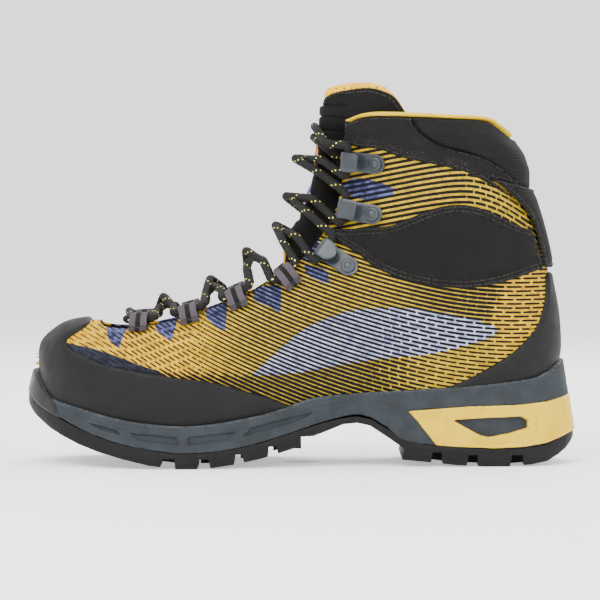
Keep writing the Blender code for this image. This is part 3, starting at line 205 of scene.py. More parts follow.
LOOPS = ((-88, 76.2, 4), (-60.9, 81.4, 15), (-34.5, 91.4, 24), (-8.9, 103.4, 38))
HOOKS = ((19, 112.7, -33, "round"), (31.4, 138, -9, "square"), (33.6, 165.2, -7, "square"))
HOOK_LACE = ((13.9, 116), (26.1, 138.9), (27.2, 166))
CROSSINGS = (6.3, 7.75, 9.2, 10.6, 12.2, 14.9)
TAIL_LOWER = (
    (16.8, 0.72, 4.8, False), (17.05, 0.35, 4.6, False), (17.15, 0.1, 4.5, True), (17.0, 0.45, 4.0, True),
    (16.6, 0.66, 2.4, True), (16.2, 0.73, -1.4, True), (15.7, 0.78, -5.4, True), (15.1, 1.05, -7.0, True),
    (14.5, 1.15, -7.0, True),
)
TAIL_UPPER = (
    (17.3, 0.8, 7.6, False), (18.1, 0.4, 5.2, False), (18.3, 0.1, 4.5, True), (17.8, 0.45, 4.0, True),
    (17.2, 0.66, 2.4, True), (16.6, 0.73, -1.4, True), (16.0, 0.78, -5.4, True), (15.4, 1.05, -7.0, True),
    (14.8, 1.15, -7.0, True),
)
FLAP_TOP = (
    (-10, 197), (10.5, 201), (14.6, 206), (22, 208.4), (34, 209.2), (42, 208), (50, 202.6),
    (55, 195.4), (57.4, 191.8),
)

SLOPES = ((-150, -0.25), (-122, -0.42), (-92, -0.62), (-50, -0.52), (-10, -0.42), (30, -0.32), (70, -0.22),
          (100, -0.08), (118, 0.0), (150, 0.0))
CUFF_SLOPES = ((-20, 0.2), (60, 0.19), (78, 0.12), (88, 0.0), (98, -0.25), (115, -0.6), (150, -0.7))
LENS = ((-27.7, 49.9), (-15.7, 60.8), (2.1, 75.6), (23.8, 84), (38.7, 86), (53.6, 86.3), (68.4, 85),
        (83.2, 82.6), (98.1, 78.6), (106.5, 74.6), (100.9, 69.6), (85.2, 64.7), (66.4, 60.8), (43.6, 58.8),
        (23.8, 55.8), (2.1, 51.8), (-12.8, 50.3))
CUFF_LENS = ((20, 152), (26.7, 156.3), (35.3, 156.3), (50.6, 151.5), (50.6, 148.6), (43, 145.8),
             (31.5, 145.3), (20, 150.5))
WEDGES = (
    ((-108, 78), (-95.6, 76), (-99.5, 64.3), (-105.5, 69.1)),
    ((-81.7, 80), (-67.9, 80), (-70.8, 68.1), (-78.7, 73)),
    ((-53, 86), (-40.6, 89), (-41.6, 73), (-47.1, 77), (-52, 80.5)),
    ((-26.7, 97), (-11.4, 99), (-11.4, 83), (-17.4, 86.9), (-26.3, 90.4)),
    ((0.7, 110), (14, 107), (15, 98.8), (2.7, 103.7)),
    ((-2, 113), (9.1, 124), (9.1, 113.6), (4, 112)),
)
SLATE = ((-131, 67.5), (-127.3, 66.4), (-114.4, 64.4), (-99.5, 60), (-86.7, 55.4), (-76, 52.4), (-76, 40),
         (-131, 40))
BELOW_LENS = ((-75, 51.5), (-45, 50.5), (-27.7, 49.9), (2, 51.8), (24, 55.8), (44, 58.8), (66, 60.8),
              (85, 64.7), (101, 69.6), (120, 72), (150, 74))
TONGUE_TOP = ((-10, 193), (9, 196), (12.5, 201.5), (17, 204), (26, 205.6), (37, 206), (46, 203.4),
              (51, 200), (57.4, 190.5))


def catmull(rows, at):
    """Rows of a table at stations given as an array, on a smooth curve through them."""
    rows = np.asarray(rows, float)
    padded = np.vstack((2 * rows[0] - rows[1], rows, 2 * rows[-1] - rows[-2]))
    at = np.clip(np.asarray(at, float), 0, len(rows) - 1)
    i = np.minimum(at.astype(int), len(rows) - 2)
    f = (at - i)[..., None]
    before, a, b, after = (padded[i + k] for k in range(4))
    cubic = -before + 3 * a - 3 * b + after
    square = 2 * before - 5 * a + 4 * b - after
    return 0.5 * (2 * a + (b - before) * f + square * f**2 + cubic * f**3)


def smooth(line, per_span=6):
    steps = (len(line) - 1) * per_span
    return catmull(line, np.arange(steps + 1) / per_span)


def last_points(u, w):
    """Points of the last, in drawn millimetres. w is 0 on the top line, 1 at the sole edge and 2 under the
    foot's middle, negative on the lateral side."""
    u, w = np.broadcast_arrays(np.asarray(u, float), np.asarray(w, float))
    row = catmull(LAST, u)
    fx, fz, bx, bz, wide, foot, shift, belly, dome, tuck = np.moveaxis(row, -1, 0)
    wide, foot = np.maximum(wide, 0), np.maximum(foot, 0)
    side, v = np.where(w < 0, -1.0, 1.0), np.abs(w)
    over = (v > 2) | ((v > 1) & (foot < 1e-6))
    side = np.where(over, -side, side)
    v = np.where(v > 2, 4 - v, np.where(over, 2 - v, v))
    upper = np.clip(v, 0, 0.5) * math.pi
    lower = np.clip(v - 0.5, 0, 0.5) * math.pi
    share = np.where(
        v <= 0.5,
        belly * (1 - np.maximum(np.cos(upper), 0) ** (2 / dome)),
        belly + (1 - belly) * np.sin(lower) ** (2 / tuck),
    )
    half = np.where(
        v <= 0.5,
        wide * np.sin(upper) ** (2 / dome),
        foot + (wide - foot) * np.maximum(np.cos(lower), 0) ** (2 / tuck),
    )
    half = np.where(v > 1, foot * (2 - v), half)
    return np.stack((fx + (bx - fx) * share, shift + side * half, fz + (bz - fz) * share), axis=-1)


def unit(a):
    return a / np.maximum(np.linalg.norm(a, axis=-1, keepdims=True), 1e-12)


def last_surface(u, w):
    """Points and outward directions of the last."""
    end = len(LAST) - 1
    along_u = last_points(np.minimum(u + 0.03, end), w) - last_points(np.maximum(u - 0.03, 0), w)
    step = np.where((np.abs(w) > 0.985) & (np.abs(w) <= 1) & (catmull(LAST, u)[..., 5] > 0), 0.0, 0.015)
    ahead = last_points(u, w + np.where(w > 0, step, 0.015))
    along_w = ahead - last_points(u, w - np.where(w < 0, step, 0.015))
    normal = unit(np.cross(along_u, along_w))
    points = last_points(u, w)
    row = catmull(LAST, u)
    middle_x, middle_z = (row[..., 0] + row[..., 2]) / 2, (row[..., 1] + row[..., 3]) / 2
    middle = np.stack((middle_x, row[..., 6], middle_z), axis=-1)
    out = np.sum(normal * (points - middle), axis=-1, keepdims=True)
    return points, normal * np.where(out < 0, -1.0, 1.0)


def off_last(u, w, offset):
    points, normals = last_surface(np.asarray(u, float), np.asarray(w, float))
    return points + normals * np.asarray(offset)[..., None]


def wall_surface(t, h):
    """Points and outward directions of the sole's wall: t runs from the heel (-1) over the lateral side to
    the toe (0) and on to the heel (1), h from its joint with the outsole (0) to its rim (1)."""

    def at(t):
        over = np.abs(t) > 1
        t = np.where(over, -np.sign(t) * (2 - np.abs(t)), t)
        row = catmull(SOLE_PLAN, np.abs(t) * (len(SOLE_PLAN) - 1))
        y = np.where((t < 0)[..., None], row[..., [1, 4]], row[..., [2, 5]])
        x = row[..., [0, 3]]
        joint, rim = smooth(JOINT_LINE), smooth(RIM_LINE)
        low = np.stack((x[..., 0], y[..., 0], np.interp(x[..., 0], joint[:, 0], joint[:, 1])), axis=-1)
        high = np.stack((x[..., 1], y[..., 1], np.interp(x[..., 1], rim[:, 0], rim[:, 1])), axis=-1)
        return low + (high - low) * h[..., None]

    points = at(t)
    way = at(t + 0.004) - at(t - 0.004)
    out = np.stack((-way[..., 1], way[..., 0], 0 * way[..., 0]), axis=-1)
    middle = np.stack((np.clip(points[..., 0], -100, 105), 0 * h, points[..., 2]), axis=-1)
    sign = np.where(np.sum(out * (points - middle), axis=-1, keepdims=True) < 0, -1.0, 1.0)
    return points, unit(out) * sign


def signed_depth(outline, x, z):
    """How far inside a closed outline each point lies; negative outside it."""
    a = np.asarray(outline, float)
    b = np.roll(a, -1, axis=0)
    best = np.full(np.shape(x), 1e9)
    inside = np.zeros(np.shape(x), bool)
    for (ax, az), (bx, bz) in zip(a, b):
        dx, dz = bx - ax, bz - az
        size = dx * dx + dz * dz
        if size < 1e-12:
            continue
        t = np.clip(((x - ax) * dx + (z - az) * dz) / size, 0, 1)
        best = np.minimum(best, np.hypot(x - ax - t * dx, z - az - t * dz))
        if dz:
            inside ^= ((az > z) != (bz > z)) & (x < ax + dx * (z - az) / dz)
    return np.where(inside, best, -best)


def below(line, low=-40.0):
    line = np.asarray(line, float)
    return np.vstack((line, [(line[-1][0], low), (line[0][0], low)]))


def above(line, high=260.0):
    line = np.asarray(line, float)
    return np.vstack((line, [(line[-1][0], high), (line[0][0], high)]))


def long_line(line, rise=0.0, fall=20.0):
    """The line carried on past both sides of the boot."""
    line = np.asarray(line, float) + (0, rise)
    return np.vstack(([(line[0][0] - 60, line[0][1])], line, [(line[-1][0] + 60, line[-1][1] - fall)]))


def step(value, low, high):
    """0 below low, 1 above high and smooth between."""
    t = np.clip((value - low) / (high - low), 0, 1)
    return t * t * (3 - 2 * t)


# ---------------------------------------------------------------- sheets and shells


class Sheet:
    """A patch of a reference surface as triangles, in the surface's own two coordinates."""

    def __init__(self, surface, first, second, lift=0.0):
        self.surface, self.lift = surface, lift
        a, b = np.meshgrid(first, second, indexing="ij")
        self.at = np.column_stack((a.ravel(), b.ravel()))
        rows, cols = len(first), len(second)
        i = (np.arange(rows - 1)[:, None] * cols + np.arange(cols - 1)[None, :]).ravel()
        upper, lower = (i, i + 1, i + cols + 1), (i, i + cols + 1, i + cols)
        self.tris = np.vstack((np.column_stack(upper), np.column_stack(lower)))
        self.measure()

    def measure(self):
        self.points, self.normals = self.surface(self.at[:, 0], self.at[:, 1])
        self.seen = self.points + self.normals * self.lift
        return self

    @property
    def x(self):
        return self.seen[:, 0]

    @property
    def z(self):
        return self.seen[:, 2]

    def inside(self, outline):
        return self.trim(signed_depth(outline, self.x, self.z))

    def outside(self, outline):
        return self.trim(-signed_depth(outline, self.x, self.z))

    def trim(self, depth, both=False):
        """Cuts the triangles where depth is 0 and drops what is below it, unless both sides stay."""
        depth = np.where(np.abs(depth) < 0.03, 1e-9, depth)
        inside = depth > 0
        count = inside[self.tris].sum(axis=1)
        extra, made, tris = [], {}, []

        def between(a, b):
            key = (min(a, b), max(a, b))
            if key not in made:
                share = depth[a] / (depth[a] - depth[b])
                made[key] = len(self.at) + len(extra)
                start, end = self.close_places(a, b)
                extra.append(start + (end - start) * share)
            return made[key]

        for tri in self.tris[(count == 1) | (count == 2)]:
            alone = inside[tri].sum() == 1
            k = next(k for k in range(3) if inside[tri[k]] == alone)
            a, b, c = (int(tri[(k + j) % 3]) for j in range(3))
            ab, ac = between(a, b), between(a, c)
            if alone or both:
                tris.append((a, ab, ac))
            if not alone or both:
                tris += [(ab, b, c), (ab, c, ac)]
        keep = [self.tris[count == 3]] + ([self.tris[count == 0]] if both else [])
        self.tris = np.vstack([*keep, np.array(tris, int).reshape(-1, 3)])
        if extra:
            self.at = np.vstack((self.at, extra))
        used, index = np.unique(self.tris, return_inverse=True)
        self.at, self.tris = self.at[used], index.reshape(-1, 3)
        return self.measure()

    def close_places(self, a, b):
        """The two vertices' coordinates, counted from the same side of the seam at the heel."""
        start, end = self.at[a].copy(), self.at[b].copy()
        turn = {last_surface: 1, wall_surface: 0}.get(self.surface)
        if turn is None:
            return start, end
        if abs(start[turn] - end[turn]) > 1.0:
            for place in (start, end):
                place[turn] += 2.0 if place[turn] < 0 else 0.0
        if turn == 1 and start[0] < 1e-6:
            start[1] = end[1]
        if turn == 1 and end[0] < 1e-6:
            end[1] = start[1]
        return start, end

    def weld(self):
        """Joins the places where the surface meets itself."""
        places = np.round(self.points, 3) + 0.0
        _, first, index = np.unique(places, axis=0, return_index=True, return_inverse=True)
        tris = index.reshape(-1)[self.tris]
        ok = (tris[:, 0] != tris[:, 1]) & (tris[:, 1] != tris[:, 2]) & (tris[:, 0] != tris[:, 2])
        self.at, self.tris = self.at[first], tris[ok]
        self.measure()
        corner = self.points[self.tris]
        facing = np.cross(corner[:, 1] - corner[:, 0], corner[:, 2] - corner[:, 0])
        wrong = np.sum(facing * self.normals[self.tris].sum(axis=1), axis=1) < 0
        self.tris[wrong] = self.tris[wrong][:, ::-1]
        return self

    def border(self):
        """The edges with one triangle, each in the direction of its triangle."""
        ways = np.vstack((self.tris[:, [0, 1]], self.tris[:, [1, 2]], self.tris[:, [2, 0]]))
        _, index, count = np.unique(np.sort(ways, axis=1), axis=0, return_index=True, return_counts=True)
        return ways[index[count == 1]]

    def edge_distance(self):
        ends = self.points[self.border()]
        spots = np.vstack([ends[:, 0] + (ends[:, 1] - ends[:, 0]) * s for s in (0, 0.25, 0.5, 0.75)])
        tree = kdtree.KDTree(len(spots))
        for i, spot in enumerate(spots):
            tree.insert(spot, i)
        tree.balance()
        return np.array([tree.find(p)[2] for p in self.points])

    def rings(self, levels):
        """Adds lines of vertices at these distances from the border, so that it can be rounded."""
        self.weld()
        for level in levels:
            self.trim(self.edge_distance() - level, both=True)
        self.weld()
        self.edge = self.edge_distance()
        return self


def shell(name, sheet, low, high, radius, finish, body="boot", fields=(), rounded=0.8):
    """A closed piece between two offsets of a sheet, its upper side rounded down at the border."""
    sheet.rings([radius * s for s in (0.12, 0.45, 1.0)])
    edge = sheet.edge
    share = np.clip(edge / radius, 0, 1)
    profile = (1 - rounded) + rounded * np.sqrt(1 - (1 - share) ** 2)
    low = low(sheet) if callable(low) else np.full(len(edge), float(low))
    high = high(sheet) if callable(high) else np.full(len(edge), float(high))
    top = sheet.points + sheet.normals * (low + (high - low) * profile)[:, None]
    bottom = sheet.points + sheet.normals * low[:, None]
    count = len(top)
    border = sheet.border()
    wall = np.vstack((
        np.column_stack((border[:, 1], border[:, 0], border[:, 0] + count)),
        np.column_stack((border[:, 1], border[:, 0] + count, border[:, 1] + count)),
    ))
    tris = np.vstack((sheet.tris, sheet.tris[:, ::-1] + count, wall))
    values = {"edge": edge, "flat": flat_of(sheet)}
    for key, value in dict(fields).items():
        values[key] = value(sheet) if callable(value) else value
    doubled = {key: np.concatenate((value, value)) for key, value in values.items()}
    return make_piece(name, np.vstack((top, bottom)), tris, finish, body, doubled)


def flat_of(sheet):
    """Distances along and up the surface in millimetres, for patterns that follow it."""
    along = sheet.points[:, 0] + np.abs(sheet.points[:, 1]) * 0.6
    return np.column_stack((along, sheet.points[:, 2], sheet.at[:, 0]))


def make_piece(name, points, faces, finish, body="boot", fields=None, uv=None):
    """A mesh object at the origin from drawn millimetres, riding on its body."""
    mesh = bpy.data.meshes.new(name)
    placed = np.asarray(points, float) * MM + SHIFT
    mesh.from_pydata(placed.tolist(), [], [list(map(int, f)) for f in faces])
    for key, value in (fields or {}).items():
        value = np.asarray(value, np.float32)
        kind = "FLOAT" if value.ndim == 1 else "FLOAT_VECTOR"
        attribute = mesh.attributes.new(key, kind, "POINT")
        attribute.data.foreach_set("value" if kind == "FLOAT" else "vector", value.ravel())
    if uv is not None:
        layer = mesh.uv_layers.new(name="UVMap")
        corners = np.zeros(len(mesh.loops), np.int32)
        mesh.loops.foreach_get("vertex_index", corners)
        layer.data.foreach_set("uv", np.asarray(uv, np.float32)[corners].ravel())
    mesh.materials.append(finish)
    mesh.shade_smooth()
    mesh.set_sharp_from_angle(angle=math.radians(48))
    obj = bpy.data.objects.new(name, mesh)
    bpy.context.scene.collection.objects.link(obj)
    if body:
        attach(obj, body)
    return obj


def wall(u_from, u_to, w_end=1.0, lift=0.0, du=0.1, columns=97):
    """A sheet over the whole girth of the upper between two stations."""
    us = np.linspace(u_from, u_to, int(round((u_to - u_from) / du)) + 1)
    return Sheet(last_surface, us, np.linspace(-w_end, w_end, columns), lift)


# ---------------------------------------------------------------- the tongue's own surface


def edge_w(line, u):
    """w where station u passes a drawn line."""
    fx, fz, bx, bz, _, _, _, belly, dome, _ = catmull(LAST, u)
    start, way = np.array((fx, fz)), np.array((bx - fx, bz - fz))
    for a, b in zip(np.array(line, float), np.array(line, float)[1:]):
        leg = b - a
        cross = way[0] * leg[1] - way[1] * leg[0]
        if abs(cross) < 1e-9:
            continue
        share = ((a - start)[0] * leg[1] - (a - start)[1] * leg[0]) / cross
        place = ((a - start)[0] * way[1] - (a - start)[1] * way[0]) / cross
        if -1e-6 <= place <= 1 + 1e-6 and 0 <= share <= belly:
            return math.acos(max(1 - share / belly, 0.0) ** (dome / 2)) / math.pi
    return 0.0


THROAT_U = np.arange(0, 22.01, 0.1)
THROAT_W = np.array([max(edge_w((*EYESTAY_EDGE, (24, 300)), u), 0.07) for u in THROAT_U])
THROAT_FRONT = 4.35
TONGUE_THICK = 3.2
TUCKED = -8.1
TAIL_ROOM = 4.6
LACE = 4.5


def throat_w(u):
    return np.interp(u, THROAT_U, THROAT_W)


def tongue_face(u, part):
    channel = TAIL_ROOM * np.clip((3.2 - np.abs(u - 15.6)) / 1.2, 0, 1)
    rise = np.clip((u - THROAT_FRONT - 0.1) / 0.5, 0, 1)
    bump = 1 - step(part, 0.25, 0.75)
    return TUCKED - channel * (1 - bump) + (1.2 - TUCKED) * bump * rise


def throat_depth(sheet):
    """How far outside the throat's opening a point lies, in millimetres over the surface."""
    u, w = sheet.at[:, 0], sheet.at[:, 1]
    front = (THROAT_FRONT - u) * 18.0
    girth = (np.abs(w) - throat_w(u)) * 95.0
    return np.maximum(front, girth)


# ---------------------------------------------------------------- materials


class Graph:
    """Short ways to add nodes to a material or a shader group."""

    def __init__(self, tree):
        self.tree = tree

    def node(self, kind, **values):
        made = self.tree.nodes.new(kind)
        for key, value in values.items():
            setattr(made, key, value)
        return made

    def feed(self, socket, value):
        if isinstance(value, bpy.types.NodeSocket):
            self.tree.links.new(value, socket)
        elif value is not None:
            socket.default_value = value

    def math(self, operation, *values, clamp=False):
        made = self.node("ShaderNodeMath", operation=operation, use_clamp=clamp)
        for socket, value in zip(made.inputs, values):
            self.feed(socket, value)
        return made.outputs[0]

    def mix(self, share, a, b):
        made = self.node("ShaderNodeMix", data_type="RGBA")
        self.feed(made.inputs[0], share)
        self.feed(made.inputs[6], a)
        self.feed(made.inputs[7], b)
        return made.outputs[2]

    def ramp(self, value, low, high, to_low=0.0, to_high=1.0):
        made = self.node("ShaderNodeMapRange", interpolation_type="SMOOTHSTEP")
        for socket, item in zip(made.inputs, (value, low, high, to_low, to_high)):
            self.feed(socket, item)
        return made.outputs[0]

    def attribute(self, name):
        return self.node("ShaderNodeAttribute", attribute_name=name)

    def split(self, vector):
        made = self.node("ShaderNodeSeparateXYZ")
        self.feed(made.inputs[0], vector)
        return made.outputs

    def noise(self, vector, scale, detail=3.0, rough=0.6):
        made = self.node("ShaderNodeTexNoise")
        for key, value in (("Vector", vector), ("Scale", scale), ("Detail", detail), ("Roughness", rough)):
            self.feed(made.inputs[key], value)
        return made.outputs["Fac"]

    def here(self):
        return self.node("ShaderNodeTexCoord").outputs["Object"]

    def group(self, name, **values):
        made = self.node("ShaderNodeGroup", node_tree=bpy.data.node_groups[name])
        for key, value in values.items():
            self.feed(made.inputs[key.replace("_", " ")], value)
        return made.outputs


def colour(red, green, blue):
    """A colour given as it looks, 0 to 255, deepened for the soft light, in the values that sockets hold."""

    def linear(c):
        c /= 255
        c = c / 12.92 if c <= 0.04045 else ((c + 0.055) / 1.055) ** 2.4
        return c**1.32

    return (linear(red), linear(green), linear(blue), 1.0)


def shader_group(name, inputs, outputs, build):
    """A shared shader group with named sockets: each input is (name, kind, default)."""
    tree = bpy.data.node_groups.new(name, "ShaderNodeTree")
    for label, kind, default in inputs:
        socket = tree.interface.new_socket(label, in_out="INPUT", socket_type=kind)
        if default is not None:
            socket.default_value = default
    for label, kind in outputs:
        tree.interface.new_socket(label, in_out="OUTPUT", socket_type=kind)
    graph = Graph(tree)
    entry, end = graph.node("NodeGroupInput"), graph.node("NodeGroupOutput")
    for label, value in build(graph, entry.outputs).items():
        graph.feed(end.inputs[label], value)


FLOAT, VECTOR = "NodeSocketFloat", "NodeSocketVector"


def build_groups():
    def weave(g, given):
        """Two crossed thread directions: their height; a tone with painted light, lighter on the thread crowns
        and darker in the grooves, under random clouding; and a mask of sparse painted glints.
        """
        x, y, _ = g.split(given["Flat"])
        across = g.math("MULTIPLY", g.math("ADD", x, y), given["Threads"])
        down = g.math("MULTIPLY", g.math("SUBTRACT", x, y), given["Threads"])
        warp, weft = (g.math("ABSOLUTE", g.math("SINE", thread)) for thread in (across, down))
        rib = g.math("MULTIPLY", warp, weft)
        place = g.here()
        fuzz = g.noise(place, 1400.0, 2.0)
        cloud = g.noise(place, 60.0, 3.0)
        height = g.math("MULTIPLY_ADD", fuzz, 0.5, rib)
        # Painted light and shade: the tone rises with the thread relief, so crowns come out lighter and grooves
        # darker; the cloud adds random tone.
        tone = g.math("ADD", g.math("MULTIPLY", rib, given["Contrast"]), g.math("MULTIPLY", cloud, 0.5))
        # Painted glints: sparse bright specks that the finishes mix into the base colour.
        glint = g.ramp(g.noise(place, 2600.0, 1.0), 0.70, 0.76)
        return {"Height": height, "Tone": tone, "Glint": glint}

    shader_group(
        "fabric weave",
        [("Flat", VECTOR, None), ("Threads", FLOAT, 3.5), ("Contrast", FLOAT, 0.6)],
        [("Height", FLOAT), ("Tone", FLOAT), ("Glint", FLOAT)],
        weave,
    )

    def grain(g, given):
        """Moulded skin: fine grain, larger mottling and scuffs near the piece's edges."""
        place = g.here()
        fine = g.noise(place, given["Fine"], 3.0)
        coarse = g.noise(place, 90.0, 4.0)
        edge = g.attribute("edge").outputs["Fac"]
        near = g.math("SUBTRACT", 1.0, g.ramp(edge, 0.2, given["Edge width"]))
        near = g.math("MULTIPLY", near, g.math("GREATER_THAN", edge, 0.0001))
        worn = g.math("MULTIPLY", near, g.ramp(g.noise(place, 420.0, 3.0), 0.42, 0.62))
        return {"Height": g.math("MULTIPLY_ADD", coarse, 0.4, fine), "Tone": coarse, "Worn": worn}

    shader_group(
        "moulded grain",
        [("Fine", FLOAT, 900.0), ("Edge width", FLOAT, 1.2)],
        [("Height", FLOAT), ("Tone", FLOAT), ("Worn", FLOAT)],
        grain,
    )


def finish_of(name, roughness, metallic=0.0, **constants):
    """A material with its Principled shader; constants are set on the shader's own sockets."""
    made = bpy.data.materials.new(name)
    made.use_nodes = True
    shader = made.node_tree.nodes["Principled BSDF"]
    shader.inputs["Roughness"].default_value = roughness
    shader.inputs["Metallic"].default_value = metallic
    shader.inputs["Specular IOR Level"].default_value = 0.25
    for key, value in constants.items():
        shader.inputs[key.replace("_", " ")].default_value = value
    return made, Graph(made.node_tree), shader.inputs


def bump(g, sockets, height, distance, strength=1.0):
    made = g.node("ShaderNodeBump")
    g.feed(made.inputs["Height"], height)
    made.inputs["Distance"].default_value = distance * MM
    made.inputs["Strength"].default_value = strength
    g.feed(sockets["Normal"], made.outputs[0])


def moulded(name, base, light, roughness, fine=900.0, worn=None, depth=0.06, edge=1.2, **constants):
    made, g, sockets = finish_of(name, roughness, **constants)
    grain = g.group("moulded grain", Fine=fine, Edge_width=edge)
    tone = g.mix(g.ramp(grain["Tone"], 0.35, 0.65), base, light)
    g.feed(sockets["Base Color"], g.mix(g.math("MULTIPLY", grain["Worn"], 0.6), tone, worn or light))
    g.feed(sockets["Roughness"], g.ramp(grain["Tone"], 0.3, 0.7, roughness - 0.06, roughness + 0.08))
    bump(g, sockets, grain["Height"], depth)
    return made


def woven(name, base, light, glint, threads=3.5, depth=0.12, roughness=0.9, glints=0.5):
    made, g, sockets = finish_of(name, roughness, Specular_IOR_Level=0.25)
    flat = g.attribute("flat").outputs["Vector"]
    weave = g.group("fabric weave", Flat=flat, Threads=threads)
    # The weave's tone mixes base and light: painted light on the thread crowns, partly, and random clouding.
    tone = g.mix(g.ramp(weave["Tone"], 0.25, 0.85), base, light)
    # Painted glints: specks of the base colour pushed towards the glint colour.
    g.feed(sockets["Base Color"], g.mix(g.math("MULTIPLY", weave["Glint"], glints), tone, glint))
    bump(g, sockets, weave["Height"], depth)
    return made


def jacquard():
    """Rows of long dark dashes in yellow thread, changing to lavender in the lens and wedges."""
    made, g, sockets = finish_of("jacquard textile", 0.85, Specular_IOR_Level=0.2)
    phase, along, dark = g.split(g.attribute("weave").outputs["Vector"])
    gap, lens, wedge = g.split(g.attribute("zone").outputs["Vector"])
    slate, gold, length = g.split(g.attribute("tint").outputs["Vector"])
    place = g.here()
    row = g.math("FLOOR", phase)
    up = g.math("SUBTRACT", phase, row)
    stagger = g.math("MULTIPLY", g.math("MODULO", row, 2.0), 0.5)
    jitter = g.math("MULTIPLY", g.math("SINE", g.math("MULTIPLY", row, 12.9898)), 0.09)
    dash = g.math("FRACT", g.math("ADD", g.math("DIVIDE", along, length), g.math("ADD", stagger, jitter)))
    rise = g.math("DIVIDE", g.math("ABSOLUTE", g.math("SUBTRACT", up, 0.5)), g.math("MULTIPLY", dark, 0.5))
    reach = g.math("MULTIPLY", g.math("ABSOLUTE", g.math("SUBTRACT", dash, 0.5)), 2.0)
    past = g.math("MAXIMUM", g.math("SUBTRACT", reach, g.math("SUBTRACT", 0.86, gap)), 0.0)
    ragged = g.math("MULTIPLY", g.math("SUBTRACT", g.noise(place, 1500.0, 2.0), 0.5), 0.5)
    amount = g.math("ADD", g.math("ADD", rise, g.math("MULTIPLY", past, 7.0)), ragged)
    thread = g.ramp(amount, 0.86, 1.14)
    cloud = g.ramp(g.noise(place, 260.0, 3.0), 0.3, 0.7)
    fuzz = g.ramp(g.noise(place, 1900.0, 2.0), 0.3, 0.72)
    yellow = g.mix(cloud, colour(176, 150, 20), colour(214, 186, 46))
    golden = g.mix(cloud, colour(196, 158, 14), colour(230, 192, 34))
    warm = g.mix(gold, yellow, golden)
    lavender = g.mix(cloud, colour(146, 150, 186), colour(206, 208, 230))
    dusk = g.mix(cloud, colour(60, 64, 98), colour(120, 126, 168))
    slaty = g.mix(cloud, colour(40, 42, 54), colour(66, 68, 84))
    yarn = g.mix(g.ramp(lens, -0.25, 0.25), warm, lavender)
    yarn = g.mix(g.ramp(wedge, -0.2, 0.2), yarn, dusk)
    yarn = g.mix(g.ramp(slate, -0.4, 0.4), yarn, slaty)
    ground = g.mix(fuzz, colour(17, 17, 19), colour(38, 37, 38))
    ground = g.mix(g.ramp(wedge, -0.2, 0.2), ground, colour(27, 30, 50))
    ground = g.mix(g.ramp(slate, -0.4, 0.4), ground, colour(34, 35, 44))
    shade = g.math("MULTIPLY_ADD", fuzz, 0.35, 0.65)
    lit = g.node("ShaderNodeMix", data_type="RGBA", blend_type="MULTIPLY")
    lit.inputs[0].default_value = 1.0
    g.feed(lit.inputs[6], g.mix(thread, ground, yarn))
    grey = g.node("ShaderNodeCombineColor")
    for socket in grey.inputs:
        g.feed(socket, shade)
    g.feed(lit.inputs[7], grey.outputs[0])
    g.feed(sockets["Base Color"], lit.outputs[2])
    bump(g, sockets, g.math("MULTIPLY_ADD", fuzz, 0.3, thread), 0.18)
    return made


def perforated_lining(name="perforated lining"):
    made, g, sockets = finish_of(name, 0.75, Specular_IOR_Level=0.3)
    x, z, _ = g.split(g.attribute("flat").outputs["Vector"])
    row = g.math("DIVIDE", z, 3.1)
    line = g.math("FLOOR", row)
    side = g.math("ADD", g.math("DIVIDE", x, 5.2), g.math("MULTIPLY", g.math("MODULO", line, 2.0), 0.5))
    dx = g.math("MULTIPLY", g.math("SUBTRACT", g.math("FRACT", side), 0.5), 5.2)
    dz = g.math("MULTIPLY", g.math("SUBTRACT", g.math("FRACT", row), 0.5), 3.1)
    away = g.math("SQRT", g.math("ADD", g.math("MULTIPLY", dx, dx), g.math("MULTIPLY", dz, dz)))
    hole = g.math("SUBTRACT", 1.0, g.ramp(away, 0.38, 0.62))
    place = g.here()
    cloud = g.ramp(g.noise(place, 300.0, 3.0), 0.3, 0.7)
    cloth = g.mix(cloud, colour(226, 182, 4), colour(240, 200, 16))
    g.feed(sockets["Base Color"], g.mix(hole, cloth, colour(120, 74, 22)))
    fine = g.math("MULTIPLY", g.noise(place, 1600.0, 2.0), 0.3)
    bump(g, sockets, g.math("SUBTRACT", fine, hole), 0.25)
    return made


def webbing(name, sides, middle, stripe_from=0.36, stripe_to=0.64):
    """Narrow woven tape: ribs along it with painted shade in the grooves between them, and a dark stripe down
    its middle, on its own UV map.
    """
    made, g, sockets = finish_of(name, 0.85, Specular_IOR_Level=0.3)
    u, v, _ = g.split(g.node("ShaderNodeTexCoord").outputs["UV"])
    ribs = g.math("ABSOLUTE", g.math("SINE", g.math("MULTIPLY", u, 60.0)))
    picks = g.math("ABSOLUTE", g.math("SINE", g.math("MULTIPLY", v, 4.6)))
    weft = g.math("MULTIPLY", ribs, picks)
    inside = g.math("MULTIPLY", g.ramp(u, stripe_from - 0.02, stripe_from + 0.02),
                    g.ramp(u, stripe_to - 0.02, stripe_to + 0.02, 1.0, 0.0))
    # Painted shade: a darker copy of the tape's colour fills the grooves between ribs and picks.
    groove_shade = tuple(c * 0.45 for c in sides[:3]) + (1.0,)
    cloth = g.mix(g.ramp(weft, 0.05, 0.7), groove_shade, sides)
    g.feed(sockets["Base Color"], g.mix(inside, cloth, middle))
    bump(g, sockets, weft, 0.15)
    return made


